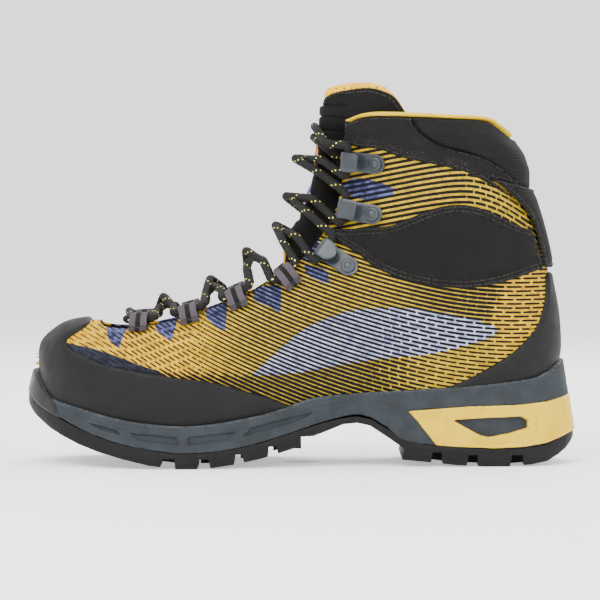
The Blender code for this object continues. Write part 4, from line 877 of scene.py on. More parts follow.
def braid():
    """Black braided lace with pale flecks that turn round it, and painted light: strand crowns lighter, the
    grooves between strands darker.
    """
    made, g, sockets = finish_of("black flecked lace", 0.8, Specular_IOR_Level=0.3)
    u, v, _ = g.split(g.node("ShaderNodeTexCoord").outputs["UV"])
    turns = g.math("MULTIPLY", u, 8.0)
    pitch = g.math("MULTIPLY", v, 0.52)
    a = g.math("ADD", turns, pitch)
    b = g.math("SUBTRACT", turns, pitch)
    strands = g.math("MULTIPLY", g.math("ABSOLUTE", g.math("SINE", g.math("MULTIPLY", a, math.pi))),
                     g.math("ABSOLUTE", g.math("SINE", g.math("MULTIPLY", b, math.pi))))
    even = g.math("COMPARE", g.math("MODULO", g.math("ADD", g.math("FLOOR", a), 400.0), 8.0), 1.0, 0.1)
    other = g.math("COMPARE", g.math("MODULO", g.math("ADD", g.math("FLOOR", b), 400.0), 2.0), 0.0, 0.1)
    fleck = g.math("MULTIPLY", g.math("MULTIPLY", even, other), g.ramp(strands, 0.4, 0.6))
    # Painted light and shade: the black is lighter on the strand crowns and darker in the grooves between
    # strands.
    black = g.mix(g.ramp(strands, 0.0, 0.8), colour(12, 12, 12), colour(44, 42, 40))
    g.feed(sockets["Base Color"], g.mix(fleck, black, colour(246, 238, 128)))
    bump(g, sockets, strands, 0.3)
    return made


def build_finishes(tones):
    """Every finish of the boot, by name."""
    # Two tones of each black fabric: the weave mixes them partly as painted light on the thread crowns and
    # partly at random.
    dark, paler = colour(20, 19, 19), colour(40, 38, 37)
    # The colour of the painted glints; in every woven finish the third colour is its painted glint colour, and
    # glints is its share.
    glint = colour(120, 118, 114)
    made = {
        "jacquard": jacquard(),
        "softshell": woven("black softshell", dark, paler, glint, 4.2, glints=0.12),
        "mesh": woven("black padded mesh", colour(22, 21, 21), colour(48, 46, 45), glint, 2.6, 0.2,
                      glints=0.2),
        "band": woven("stitched band", colour(18, 17, 17), colour(56, 54, 52), colour(170, 168, 160), 1.9,
                      0.35, glints=0.75),
        "tongue": woven("black tongue fabric", dark, paler, glint, 3.0, 0.18, glints=0.2),
        "lining": perforated_lining(),
        "edge": woven("yellow edge tape", colour(214, 184, 4), colour(236, 206, 14), colour(250, 226, 60),
                      3.0, 0.08, 0.75, 0.2),
        "foam": moulded("grey midsole foam", tones["foam_low"], tones["foam_high"], 0.72, 1100.0,
                        colour(112, 118, 122), 0.05),
        "rand": moulded("black rand rubber", colour(15, 15, 15), colour(22, 22, 22), 0.6, 800.0,
                        colour(60, 60, 59), 0.05, 0.6),
        "bumper": moulded("glossy bumper rubber", colour(22, 23, 24), colour(34, 35, 36), 0.34, 600.0,
                          colour(70, 72, 74), 0.03),
        "tread": moulded("black tread rubber", colour(13, 13, 14), colour(24, 24, 25), 0.66, 700.0,
                         colour(52, 52, 52), 0.08),
        "heel_frame": moulded("yellow heel frame", tones["frame_low"], tones["frame_high"], 0.42, 500.0,
                              colour(255, 232, 120), 0.02),
        "painted": moulded("grey painted metal", colour(58, 64, 68), colour(72, 79, 84), 0.36, 1200.0,
                           colour(138, 146, 150), 0.02, 0.5, Coat_Weight=0.3, Coat_Roughness=0.3),
        "strap": webbing("grey striped webbing", colour(112, 104, 110), colour(26, 26, 27)),
        "keeper": webbing("lavender striped webbing", colour(150, 156, 205), colour(24, 26, 40), 0.2, 0.8),
        "lace": braid(),
        "tip": moulded("black lace tip", colour(20, 20, 20), colour(30, 30, 30), 0.3, 900.0),
        "copper": moulded("copper badge film", colour(150, 96, 52), colour(214, 160, 98), 0.3, 200.0,
                          colour(236, 196, 140), 0.02, 1.0, metallic=0.6),
        "steel": moulded("rolled steel", colour(150, 150, 152), colour(180, 180, 182), 0.35, 600.0,
                         metallic=1.0),
        "fibre": moulded("pressed fibre board", colour(160, 142, 112), colour(184, 168, 138), 0.85, 500.0,
                         depth=0.1),
        "footbed": woven("grey footbed felt", colour(70, 70, 74), colour(98, 98, 102), glint, 2.0, 0.2,
                         glints=0.1),
        "thread": moulded("dark sewing thread", colour(46, 45, 44), colour(74, 73, 70), 0.5, 1500.0),
    }
    return made


# ---------------------------------------------------------------- the upper


def integral(slopes, x):
    xs = np.linspace(-180, 180, 721)
    slope = np.interp(xs, *zip(*slopes))
    rise = np.concatenate(([0], np.cumsum((slope[1:] + slope[:-1]) / 2 * np.diff(xs))))
    return np.interp(x, xs, rise)


def jacquard_fields(pitch, cuff):
    """Where the textile's rows run, how dark they are and where its coloured fields lie."""

    def weave(sheet):
        x, z = sheet.points[:, 0], sheet.points[:, 2]
        slopes = CUFF_SLOPES if cuff else SLOPES
        phase = (z - integral(slopes, x)) / pitch + 400
        slope = np.interp(x, *zip(*slopes))
        along = x * np.sqrt(1 + slope**2) + 900
        return np.column_stack((phase, along, dark_share(sheet, cuff)))

    def zone(sheet):
        x, z = sheet.points[:, 0], sheet.points[:, 2]
        lens = signed_depth(smooth(CUFF_LENS if cuff else LENS, 3), x, z)
        wedge = np.full(len(x), -9.0) if cuff else np.max([signed_depth(w, x, z) for w in WEDGES], axis=0)
        if cuff:
            wedge, lens = lens, np.full(len(x), -9.0)
        return np.column_stack((gap_share(sheet, cuff), np.clip(lens, -3, 3), np.clip(wedge, -3, 3)))

    def tint(sheet):
        x, z = sheet.points[:, 0], sheet.points[:, 2]
        slate = np.full(len(x), -9.0) if cuff else signed_depth(SLATE, x, z)
        gold = step(-x, 25, 70) + step(x, 95, 112)
        length = 6.5 + 3.5 * step(x, -60, 0)
        return np.column_stack((np.clip(slate, -3, 3), 0 * x if cuff else gold, length))

    return {"weave": weave, "zone": zone, "tint": tint}


def under_lens(x, z):
    low = smooth(BELOW_LENS)
    return step(np.interp(x, low[:, 0], low[:, 1]) - z, -0.4, 0.4)


def dark_share(sheet, cuff):
    x, z = sheet.points[:, 0], sheet.points[:, 2]
    if cuff:
        return 0.55 + 0.2 * step(x, 62, 92) * step(z, 142, 128) - 0.08 * step(x, 96, 116)
    share = 0.26 + 0.14 * step(x, -118, -90) + 0.18 * step(x, -55, -15)
    share = share + 0.16 * step(x, 48, 78) * step(z, 72, 84)
    heel = step(x - 0.35 * (z - 75), 99, 103)
    share = share * (1 - heel) + 0.50 * heel
    low = under_lens(x, z)
    thin = 0.80 - 0.34 * step(x, 35, 78)
    share = share * (1 - low) + thin * low
    lens = step(signed_depth(LENS, x, z), -0.4, 0.4)
    return share * (1 - lens) + 0.60 * lens


def gap_share(sheet, cuff):
    x, z = sheet.points[:, 0], sheet.points[:, 2]
    if cuff:
        return -0.2 + 0.26 * step(x, 78, 96)
    share = 0.24 - 0.5 * step(x, -70, -30)
    share = share + 0.2 * step(x, 62, 90)
    heel = step(x - 0.35 * (z - 75), 99, 103)
    share = share * (1 - heel) + 0.08 * heel
    low = under_lens(x, z)
    share = share * (1 - low) + (-0.12 + 0.16 * step(x, 20, 60)) * low
    lens = step(signed_depth(LENS, x, z), -0.4, 0.4)
    return share * (1 - lens) + (-0.2 + 0.24 * step(x, 20, 60)) * lens


def upper_sheet(u_from, u_to, w_end=1.0, lift=0.0, du=0.1, columns=97):
    """The whole girth less the throat."""
    made = wall(u_from, u_to, w_end, lift, du, columns)
    return made.trim(throat_depth(made))


def make_upper(sizes, tones):
    quarter = upper_sheet(0, 19, 1.12, 0.0, 0.07, 121)
    quarter.outside(above(long_line(smooth(WAIST_LINE), -0.1)))
    shell("textile_quarter", quarter, -1.2, 0.0, 0.7, FINISH["jacquard"],
          fields=jacquard_fields(sizes.stripe_pitch / MM, False))
    cuff = upper_sheet(9, 19.5, lift=0.0)
    cuff.inside(above(long_line(smooth(WAIST_LINE), 0.1)))
    cuff.outside(above(long_line(smooth(TEXTILE_TOP), 0.5)))
    shell("textile_cuff", cuff, -1.2, 0.0, 0.7, FINISH["jacquard"],
          fields=jacquard_fields(sizes.stripe_pitch / MM * 1.28, True))
    stand_for("textile_quarter", "vamp_quarter", slot="jacquard")
    stand_for("textile_cuff", "cuff_fabric", slot="jacquard")


def stand_for(piece, *nodes, slot):
    obj = bpy.data.objects[piece]
    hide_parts(*nodes)
    return obj


def make_rand(sizes, tones):
    rand = wall(0, 11.5, 0.97, 1.2, 0.05)
    rand.inside(below([(-170, 90), (-119, 90), *smooth(RAND_EDGE)]))
    shell("toe_rand", rand, 0.15, sizes.rand_thickness / MM + 0.3, 1.6, FINISH["rand"], rounded=0.95)
    stand_for("toe_rand", "rand", slot="black_rand")
    cup = wall(10, 17.5, 1.0, 1.2, 0.06)
    cup.inside([*smooth(HEEL_CUP_EDGE), (170, 105), (170, 0), (60, 0)])
    cup.outside(below(long_line(smooth(RIM_LINE), -4.0)))
    shell("heel_cup_shell", cup, 0.15, 2.1, 1.8, FINISH["rand"], rounded=0.95)
    stand_for("heel_cup_shell", "heel_cup", slot="black_rand")


PANEL_BAND = 4.2
PAD_BAND = 5.4
BACKSTAY_BAND = 2.6
EDGE_FREE = 9.0


def panel_swell(sheet):
    """The stitched band lies flat and the field inside it is a little fuller."""
    ripple = np.sin(np.clip(sheet.edge, 0, PANEL_BAND) * math.pi * 2 / PANEL_BAND) ** 2
    return 1.1 + 0.6 * step(sheet.edge, 4.0, 9.0) + 0.25 * ripple


def make_ankle_panels(sizes, tones):
    outline = [*smooth(ANKLE_TOP), *smooth(ANKLE_BOTTOM)]
    for name, side in (("lateral", -1), ("medial", 1)):
        panel = wall(8, 18, 1.0, 1.0, 0.08)
        panel.inside(outline).trim(panel.points[:, 1] * side - 2.5)
        obj = shell("ankle_shield_" + name, panel, 0.2, panel_swell, 1.2, FINISH["softshell"])
        band_inside(obj, PANEL_BAND)
        stand_for(obj.name, "ankle_panel_" + name, slot="black_softshell")
        STITCHED.append((panel, (1.3, 3.4), 1.75))
    stay = wall(13, 19, 1.0, 2.0, 0.06, 121)
    stay.inside(BACKSTAY_EDGE)
    swell = lambda s: 3.3 + 0.5 * step(s.edge, 2, 6)
    obj = shell("heel_backstay", stay, 1.9, swell, 1.3, FINISH["softshell"])
    band_inside(obj, BACKSTAY_BAND)
    stand_for(obj.name, "backstay", slot="black_softshell")
    STITCHED.append((stay, (1.4,), 3.75))


def band_inside(obj, width):
    """Gives the strip along a panel's border its own stitched finish."""
    mesh = obj.data
    mesh.materials.append(FINISH["band"])
    edge = np.zeros(len(mesh.vertices), np.float32)
    mesh.attributes["edge"].data.foreach_get("value", edge)
    corners = np.zeros(len(mesh.polygons) * 3, np.int32)
    mesh.polygons.foreach_get("vertices", corners)
    near = edge[corners.reshape(-1, 3)].mean(axis=1) < width
    mesh.polygons.foreach_set("material_index", near.astype(np.int32))


# ---------------------------------------------------------------- the collar and the lining


def collar_front_high(sheet):
    seam = step(sheet.edge, 0.0, 8.0)
    lower = step(sheet.z - np.interp(sheet.x, *smooth(TEXTILE_TOP).T), 5.0, 8.0)
    return 0.9 + 1.3 * seam * lower + 0.5 * (1 - lower)


def make_collar(sizes, tones):
    over_rim = above(long_line([(0, RIM_EDGE[0][1]), *smooth(RIM_EDGE)], -0.2, 6))
    seam = smooth(COLLAR_SEAM)
    behind = [*seam, (190, 147), (190, 240), (59, 240)]
    under = below(long_line(smooth(TEXTILE_TOP), -0.3))
    for name, side in (("lateral", -1), ("medial", 1)):
        front = upper_sheet(12, 21.6, lift=1.5, du=0.07)
        front.outside(under).outside(behind).outside(over_rim).outside(grown(BACKSTAY_EDGE, 0.2))
        front.trim(front.points[:, 1] * side - 2.5)
        obj = shell("collar_pad_" + name, front, -2.4, collar_front_high, 1.6, FINISH["mesh"])
        band_by_line(obj, TEXTILE_TOP, PAD_BAND)
        stand_for(obj.name, "collar_front_" + name, slot="black_mesh")
        STITCHED.append((front, (1.6,), 1.6))
    rear = upper_sheet(12, 21.6, lift=2.5, du=0.07)
    rear.outside(under).inside(behind).outside(over_rim).outside(grown(BACKSTAY_EDGE, 0.2))
    fill = sizes.collar_fill / MM
    swell = lambda s: 2.0 + (fill - 1.9) * step(s.edge, 0.0, 12.0)
    obj = shell("collar_pad_rear", rear, -2.4, swell, 2.6, FINISH["mesh"], rounded=0.8)
    stand_for(obj.name, "collar_rear", slot="black_mesh")
    tape = upper_sheet(16, 22, lift=0.5, du=0.05)
    rim = long_line([(0, RIM_EDGE[0][1]), *smooth(RIM_EDGE)], 0.0, 6)
    tape.inside(above(rim + (0, -0.6))).outside(above(rim + (0, 2.0)))
    shell("collar_edge_tape", tape, -3.6, 1.2, 1.2, FINISH["edge"], rounded=0.9)
    stand_for("collar_edge_tape", "collar_binding", slot="yellow_edge")
    inner = upper_sheet(0, 22, 1.3, -3.2, 0.1, 121)
    inner.outside(above(rim + (0, 0.2)))
    obj = shell("boot_lining", inner, -3.7, -2.7, 0.6, FINISH["lining"])
    stand_for(obj.name, "lining", slot="yellow_lining")
    foam = wall(12, 20, 1.0, -2.0)
    foam.inside(smooth(FOAM_EDGE, 3))
    obj = shell("ankle_padding", foam, -2.5, -1.5, 0.5, FINISH["footbed"])
    stand_for(obj.name, "ankle_foam", slot="soft_foam")


def band_by_line(obj, line, width):
    """A stitched strip above a drawn line."""
    mesh = obj.data
    mesh.materials.append(FINISH["band"])
    places = np.array([(p.center.x, p.center.z) for p in mesh.polygons])
    places = (places - SHIFT[[0, 2]]) / MM
    over = places[:, 1] - np.interp(places[:, 0], *smooth(line).T)
    mesh.polygons.foreach_set("material_index", (over < width).astype(np.int32))


def grown(outline, distance):
    """The outline moved outwards."""
    rows = np.array(outline, float)
    ahead, behind = np.roll(rows, -1, axis=0), np.roll(rows, 1, axis=0)
    area = np.sum(rows[:, 0] * ahead[:, 1] - ahead[:, 0] * rows[:, 1])
    turn = distance if area > 0 else -distance
    first, second = unit(rows - behind), unit(ahead - rows)
    n1 = np.column_stack((first[:, 1], -first[:, 0]))
    n2 = np.column_stack((second[:, 1], -second[:, 0]))
    return rows + (n1 + n2) / (1 + np.maximum(np.sum(n1 * n2, axis=1, keepdims=True), -0.5)) * turn


# ---------------------------------------------------------------- the tongue


def tongue_sheet(lift):
    """The tongue's patch: station, and a share of the way to the eyestay that goes on to its own edge."""
    us = np.concatenate((np.arange(4.0, 17, 0.08), np.arange(17, 22.01, 0.05)))

    def surface(u, share):
        edge = throat_w(u)
        wing = np.maximum(edge * 1.45, 0.44 * np.clip((u - 12) / 5, 0, 1))
        reach = np.abs(share)
        v = np.where(reach <= 1, reach * edge, edge + (wing - edge) * (reach - 1))
        points, normals = last_surface(u, v * np.sign(share))
        face = tongue_face(u, np.minimum(v / edge, 1.0))
        return points + normals * face[:, None], normals

    return Sheet(surface, us, np.linspace(-2, 2, 81), lift)


def quilted(sheet):
    """Padded segments with sewn channels across the tongue."""
    u, share = sheet.at[:, 0], np.abs(sheet.at[:, 1])
    channel = np.abs(np.sin((u - 5.0) * math.pi / 1.3))
    full = step(channel, 0.0, 0.5) * step(1.0 - share, 0.05, 0.4)
    lip = step(u, 5.0, 6.0)
    return -0.5 + 1.1 * full * lip * step(21.6 - u, 0.0, 0.6)


def make_tongue(sizes, tones):
    face = tongue_sheet(0.0)
    face.inside(below(smooth(TONGUE_TOP, 4)))
    pad = shell("tongue_pad", face, -2.4, quilted, 1.3, FINISH["tongue"], body=None)
    back = tongue_sheet(-TONGUE_THICK)
    back.inside(below(smooth(FLAP_TOP, 4)))
    liner = shell("tongue_liner", back, -3.2, -2.0, 1.0, FINISH["lining"], body=None)
    for obj, node in ((pad, "tongue_lower"), (liner, "tongue_flap")):
        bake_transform(obj)
        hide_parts(node)
    STITCHED.append((face, (2.0,), -0.2))


# ---------------------------------------------------------------- the sole


def wall_sheet(t_from, t_to, h_from, h_to, lift=0.0, spacing=1.0, rows=34):
    count = int(700 * abs(t_to - t_from) / 2 / spacing)
    return Sheet(wall_surface, np.linspace(t_from, t_to, count), np.linspace(h_from, h_to, rows), lift)


def foam_high(sheet):
    """The midsole's wall: sunken windows at the forefoot and a seat for the heel frame."""
    x, z = sheet.x, sheet.z
    high = -0.25 * step(np.abs(sheet.at[:, 1] - 0.62), 0.05, 0.0)
    for window in MIDSOLE_WINDOWS:
        depth = signed_depth(window, x, z)
        high = high - 1.5 * step(depth, -0.1, 0.9)
    seat = signed_depth(HEEL_FRAME_EDGE, x, z)
    high = high - 2.0 * step(seat, -0.2, 0.8)
    shelf = signed_depth(BUMPER_EDGE, x, z)
    return high - 1.6 * step(shelf, -0.2, 0.8)


def frame_high(sheet):
    """The heel frame swells round its window with a shallow raised contour."""
    around = -signed_depth(HEEL_WINDOW, sheet.x, sheet.z)
    outer = signed_depth(HEEL_FRAME_EDGE, sheet.x, sheet.z)
    ridge = np.exp(-(((around - 3.6) / 0.9) ** 2)) * step(outer, 1.0, 3.0)
    return 0.85 - 0.45 * step(around, 3.4, 4.6) * step(outer, 0.0, 2.0) + 0.15 * ridge


def make_sole(sizes, tones):
    foam = wall_sheet(-1, 1, 0.0, 1.0, 0.0, 0.8, 44)
    shell("midsole_wall", foam, -5.5, foam_high, 1.1, FINISH["foam"], rounded=0.35)
    stand_for("midsole_wall", "midsole", slot="grey_foam")
    yellow = wall_sheet(-1, 1, -0.12, 1.0, 0.5, 0.8, 44)
    yellow.inside(HEEL_FRAME_EDGE).outside(HEEL_WINDOW)
    shell("heel_frame", yellow, -2.1, frame_high, 1.0, FINISH["heel_frame"], rounded=0.7)
    stand_for("heel_frame", "heel_insert", slot="yellow_frame")
    bumper = wall_sheet(-0.35, 0.35, -0.05, 1.02, 0.3, 0.6, 50)
    bumper.inside(BUMPER_EDGE)
    shell("glossy_toe_bumper", bumper, -2.2, 0.5, 1.4, FINISH["bumper"], rounded=0.8)
    stand_for("glossy_toe_bumper", "toe_bumper", slot="black_rubber")
    tread = refined("outsole", 0.7, FINISH["tread"])
    tread.name = "lugged_tread"
    stand_for("lugged_tread", "outsole", slot="black_rubber")


def refined(node, width, finish, segments=2):
    """A CAD node's shape with its flats joined and its edges softened."""
    source = frame["nodes"][node]
    mesh = source.data.copy()
    obj = bpy.data.objects.new(node + "_soft", mesh)
    bpy.context.scene.collection.objects.link(obj)
    mesh.materials.clear()
    mesh.materials.append(finish)
    weld = obj.modifiers.new("weld", "WELD")
    weld.merge_threshold = 0.01 * MM
    flats = obj.modifiers.new("flats", "DECIMATE")
    flats.decimate_type = "DISSOLVE"
    flats.angle_limit = math.radians(3)
    soft = obj.modifiers.new("soft", "BEVEL")
    soft.width, soft.segments = width * MM, segments
    soft.limit_method, soft.angle_limit = "ANGLE", math.radians(30)
    return applied(obj)


def applied(obj, body="boot"):
    """Turns an object's modifiers into its plain mesh, riding on its body."""
    bpy.context.view_layer.update()
    graph = bpy.context.evaluated_depsgraph_get()
    obj.data = bpy.data.meshes.new_from_object(obj.evaluated_get(graph))
    obj.modifiers.clear()
    obj.data.shade_smooth()
    obj.data.set_sharp_from_angle(angle=math.radians(40))
    if body:
        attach(obj, body)
    return obj


def make_inner(sizes, tones):
    base = Sheet(floor_surface, np.linspace(2, 14, 140), np.linspace(-0.88, 0.88, 61), -7.0)
    shell("soft_footbed", base, -9.0, -5.0, 1.2, FINISH["footbed"], body="footbed")
    obj = stand_for("soft_footbed", "footbed", slot="soft_foam")
    inner = {"toe_puff": "fibre", "heel_counter": "fibre", "insole_board": "fibre", "shank": "steel"}
    for node, finish in inner.items():
        slots = frame["nodes"][node].data.materials
        slots.clear()
        slots.append(FINISH[finish])


def floor_surface(u, side):
    """The underside of the last, side running from the medial edge (-1) to the lateral one (1)."""
    w = np.where(side < 0, 2 + side, -(2 - side))
    points = last_points(u, w)
    along_u = last_points(u + 0.03, w) - last_points(u - 0.03, w)
    down = unit(np.stack((along_u[..., 2], 0 * u, -along_u[..., 0]), axis=-1))
    return points, down * np.where(down[..., 2:3] > 0, -1.0, 1.0)


# ---------------------------------------------------------------- what holds the lace

GAP = 0.3
WEBBING = 0.8
STRAP_WIDTH = 10.0
LOOP_ROOM = 0.95
HOOK_SHEET = 1.0
HOOK_WIDTH = 10.6
HOOK_PLAY = 0.5
HOOK_HALF = 7.8
HOOK_BASE = 5.6
HOOK_REACH = 8.0
HOOK_TIP = 0.45
HOOK_LACE_HEIGHT = HOOK_SHEET + LACE / 2 + HOOK_PLAY
END_STEPS = (0.0, 0.04, 0.12, 0.25, 0.45, 0.7, 1.0)
RIVET_RINGS = ((0, -0.1), (1.3, -0.1), (1.3, 1.2), (3.6, 1.15), (3.9, 1.4), (3.9, 1.9), (3.6, 2.25), (3.0, 2.4),
               (2.6, 2.42), (2.4, 2.15), (2.1, 2.15), (1.9, 2.5), (1.4, 2.75), (0.7, 2.88), (0, 2.9))
CORNER_ROOM = 3.5
TIP_LENGTH = 14.0
STRAND_LIFTS = (4.0, 4.0, 4.0, 4.5, 5.0, 5.0)
LACE_LIFT = 1.35
CROSSING_GAP = 0.45
BADGED_GAPS = (4, 5)
BADGE_ROOM = 4.0

def one_point(u, v, side, offset):
    return off_last(np.array([u]), np.array([side * max(v, 1e-4)]), np.array([offset]))[0]


def one_normal(u, v, side):
    return Vector(last_surface(np.array([u]), np.array([side * max(v, 1e-4)]))[1][0])


def last_at(x, z):
    """(u, v) of the point of the last that is seen from the side at the drawn x and z."""
    low_u, high_u, low_v, high_v = 0.0, float(len(LAST) - 1), 0.0, 1.0
    for _ in range(6):
        u, v = np.meshgrid(np.linspace(low_u, high_u, 41), np.linspace(low_v, high_v, 25))
        p = last_points(u, v)
        k = np.argmin((p[..., 0] - x) ** 2 + (p[..., 2] - z) ** 2)
        best_u, best_v = u.ravel()[k], v.ravel()[k]
        span_u, span_v = (high_u - low_u) / 8, (high_v - low_v) / 5
        low_u, high_u = max(best_u - span_u, 0), min(best_u + span_u, len(LAST) - 1)
        low_v, high_v = max(best_v - span_v, 0), min(best_v + span_v, 1)
    return float(best_u), float(best_v)


def frame_matrix(x, y, z, place):
    matrix = Matrix((x, y, z)).transposed().to_4x4()
    matrix.translation = place
    return matrix


def tangent(normal, dx, dz):
    """The direction in the surface that is seen from the side as (dx, dz)."""
    return Vector((dx, -(normal.x * dx + normal.z * dz) / normal.y, dz)).normalized()


def loop_frame(x, z, lean, side):
    """A strap loop's frame: x away from the tongue, y off the surface, z up the eyestay."""
    u, v = last_at(x, z)
    normal = one_normal(u, v, side)
    angle = math.radians(lean)
    up = tangent(normal, math.cos(angle), math.sin(angle))
    back = up.cross(normal) * -side
    return frame_matrix(back, normal, up, Vector(one_point(u, v, side, 0.4 + LACE / 2 + 1.4)))


def hook_frame(x, z, lean, side):
    """A hook's frame, on the surface half way between its bend and its rivet."""
    u, v = last_at(x, z)
    normal = one_normal(u, v, side)
    angle = math.radians(lean)
    back = tangent(normal, math.cos(angle), math.sin(angle))
    up = normal.cross(back) * -side
    return frame_matrix(back, normal, up, Vector(one_point(u, v, side, 0.6)))


def ribbon(frame, path, half_widths, thickness, wide=9):
    """A flat strip bent along a path of (x, y) in the frame, with its own UV map: across, then along."""
    path = np.array(path, float)
    way = np.gradient(path, axis=0)
    out = unit(np.column_stack((way[:, 1], -way[:, 0])))
    along = np.concatenate(([0], np.cumsum(np.linalg.norm(np.diff(path, axis=0), axis=1))))
    points, uv = [], []
    for layer in (0.5, -0.5):
        for place, normal, half, far in zip(path, out, half_widths, along):
            for share in np.linspace(-1, 1, wide):
                edge = 1 - 0.35 * max(abs(share) - 0.86, 0) / 0.14
                p = place + normal * thickness * layer * edge
                points.append(frame @ Vector((p[0], p[1], share * half)))
                uv.append((share / 2 + 0.5, far))
    rows, count = len(path), len(path) * wide
    faces = []
    for r in range(rows - 1):
        for c in range(wide - 1):
            a = r * wide + c
            faces.append((a, a + 1, a + 1 + wide, a + wide))
            faces.append((a + count, a + wide + count, a + 1 + wide + count, a + 1 + count))
    rim = list(range(wide)) + [r * wide + wide - 1 for r in range(1, rows)]
    rim += [(rows - 1) * wide + c for c in range(wide - 2, -1, -1)]
    rim += [r * wide for r in range(rows - 2, 0, -1)]
    for a, b in zip(rim, rim[1:] + rim[:1]):
        faces.append((b, a, a + count, b + count))
    return np.array(points), faces, np.array(uv)


def facing_out(name, points, faces, finish, uv):
    """A piece whose faces are turned outwards by Blender."""
    fields = {"edge": np.full(len(points), EDGE_FREE)}
    obj = make_piece(name, points, faces, finish, body=None, fields=fields, uv=uv)
    mesh = bmesh.new()
    mesh.from_mesh(obj.data)
    bmesh.ops.recalc_face_normals(mesh, faces=mesh.faces)
    mesh.to_mesh(obj.data)
    mesh.free()
    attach(obj, "boot")
    return obj


def make_loops(sizes, tones):
    hole = LACE / 2 + LOOP_ROOM
    arc = [math.radians(a) for a in range(-90, -311, -11)]
    for name, side in SIDES:
        for i, (x, z, lean) in enumerate(LOOPS):
            frame = loop_frame(x, z, lean, side)
            path = [(9.3, -hole), (6, -hole), (3, -hole)]
            path += [(hole * math.cos(a), hole * math.sin(a)) for a in arc]
            path += [(5.2, 0.6), (6.2, -1.2), (7.3, -2.2), (9.3, -2.25)]
            path = catmull(path, np.arange((len(path) - 1) * 2 + 1) / 2)
            half = STRAP_WIDTH / 2 + 0.12 * np.sin(np.arange(len(path)) * 1.7)
            points, faces, uv = ribbon(frame, path, half, WEBBING)
            obj = facing_out(f"webbing_loop_{name}_{i + 1}", points, faces, FINISH["strap"], uv)
            stand_for(obj.name, f"lace_loop_{name}_{i + 1}", slot="grey_strap")
            turn = frame.to_3x3()
            for row in (7.0, 8.4):
                for place in np.linspace(-4.0, 4.0, 7):
                    spot = frame @ Vector((row, -1.75, place))
                    STITCH_POINTS.append((spot, turn @ Vector((0, 0, 1)), turn @ Vector((0, 1, 0))))


def make_hooks(sizes, tones):
    middle, half_wide = HOOK_LACE_HEIGHT, HOOK_WIDTH / 2
    reach = LACE / 2 + HOOK_PLAY + HOOK_SHEET / 2
    for name, side in SIDES:
        for i, (x, z, lean, shape) in enumerate(HOOKS):
            frame = hook_frame(x, z, lean, side)
            base_end, tip = HOOK_HALF + HOOK_BASE, HOOK_REACH - HOOK_HALF
            tip_radius = half_wide * (1.0 if shape == "round" else HOOK_TIP)
            path, half = [], []
            for d in END_STEPS:
                path.append((base_end - half_wide * d, HOOK_SHEET / 2))
                half.append(narrowed(d, half_wide, half_wide))
            for angle in range(-90, -271, -15):
                c, sine = math.cos(math.radians(angle)), math.sin(math.radians(angle))
                path.append((reach * c - HOOK_HALF, reach * sine + middle))
                half.append(half_wide - 0.5 * math.sin(math.radians(-90 - angle)) ** 2)
            for d in reversed(END_STEPS):
                path.append((tip - tip_radius * d, reach + middle))
                half.append(narrowed(d, tip_radius, half_wide))
            points, faces, uv = ribbon(frame, path, half, HOOK_SHEET, 13)
            obj = facing_out(f"painted_hook_{name}_{i + 1}", points, faces, FINISH["painted"], uv)
            stand_for(obj.name, f"hook_{name}_{i + 1}", slot="grey_metal")
            points, faces = turned(RIVET_RINGS, 32, frame @ Matrix.Translation((HOOK_HALF, 0, 0)))
            obj = facing_out(f"rivet_head_{name}_{i + 1}", points, faces, FINISH["painted"], None)
            stand_for(obj.name, f"rivet_{name}_{i + 1}", slot="grey_metal")


def narrowed(share, radius, half):
    """Half the width of a sheet at a share of its end's rounding, measured from the tip."""
    return half - radius * (1 - max(math.sqrt(1 - (1 - share) ** 2), 0.2))


def turned(rings, sides, matrix):
    """A turned shape: rings of (radius, height) about the matrix's y axis."""
    points, faces = [], []
    for radius, rise in rings:
        for k in range(sides):
            angle = 2 * math.pi * k / sides
            wide = max(radius, 1e-4)
            points.append(matrix @ Vector((wide * math.cos(angle), rise, wide * math.sin(angle))))
    for r in range(len(rings) - 1):
        for k in range(sides):
            j = (k + 1) % sides
            faces.append((r * sides + k, r * sides + j, (r + 1) * sides + j, (r + 1) * sides + k))
    faces.append(tuple(range(sides)))
    faces.append(tuple((len(rings) - 1) * sides + k for k in range(sides)))
    return np.array(points), faces


# ---------------------------------------------------------------- the lace


def lace_route(frames):
    """The lace's middle line from one tip to the other, over every hold in turn."""
    uv = [last_at(x, z) for x, z, _ in LOOPS] + [last_at(*HOOK_LACE[i]) for i in range(len(HOOKS))]
    lie, count = GAP + LACE / 2, len(uv)

    def strand(i, side, over):
        points = []
        (u0, v0), (u1, v1) = uv[i], uv[i + 1]
        for share in (0.24, 0.5, 0.76):
            reach = (u1 - u0) * 0.15
            u = float(np.interp(share, (0, 0.5, 1), (u0 + reach, CROSSINGS[i], u1 - reach)))
            across = side * (v0 * (1 - share) - v1 * share)
            v, at = abs(across), (1 if across > 0 else -1)
            ground = max(float(tongue_face(np.array(u), np.array(min(v / throat_w(u), 1.0)))), -0.6)
            lift = ground + lie + LACE_LIFT
            if share == 0.5:
                lift += LACE + CROSSING_GAP if over else 0.0
                lift += BADGE_ROOM if i in BADGED_GAPS else 0.0
            else:
                lift = max(lift, STRAND_LIFTS[i])
            points.append(one_point(u, v, at, lift))
        return points

    def up_from_bar(side):
        points, here = [], side
        for i in range(count):
            points += frames[i, here]
            if i + 1 < count:
                points += strand(i, here, (here > 0) == (i % 2 == 0))
                here = -here
        return points, here

    right, right_end = up_from_bar(1)
    left, left_end = up_from_bar(-1)
    bar = [one_point(5.3, 0.1, side, 3.4) for side in (1, -1)]
    ground = float(tongue_face(np.array(5.3), np.array(0.0)))
    bar.insert(1, one_point(5.2, 0, 1, ground + lie + 0.9))
    right += tail(right_end, False)
    left += tail(left_end, True)
    return np.array(right[::-1] + bar + left)


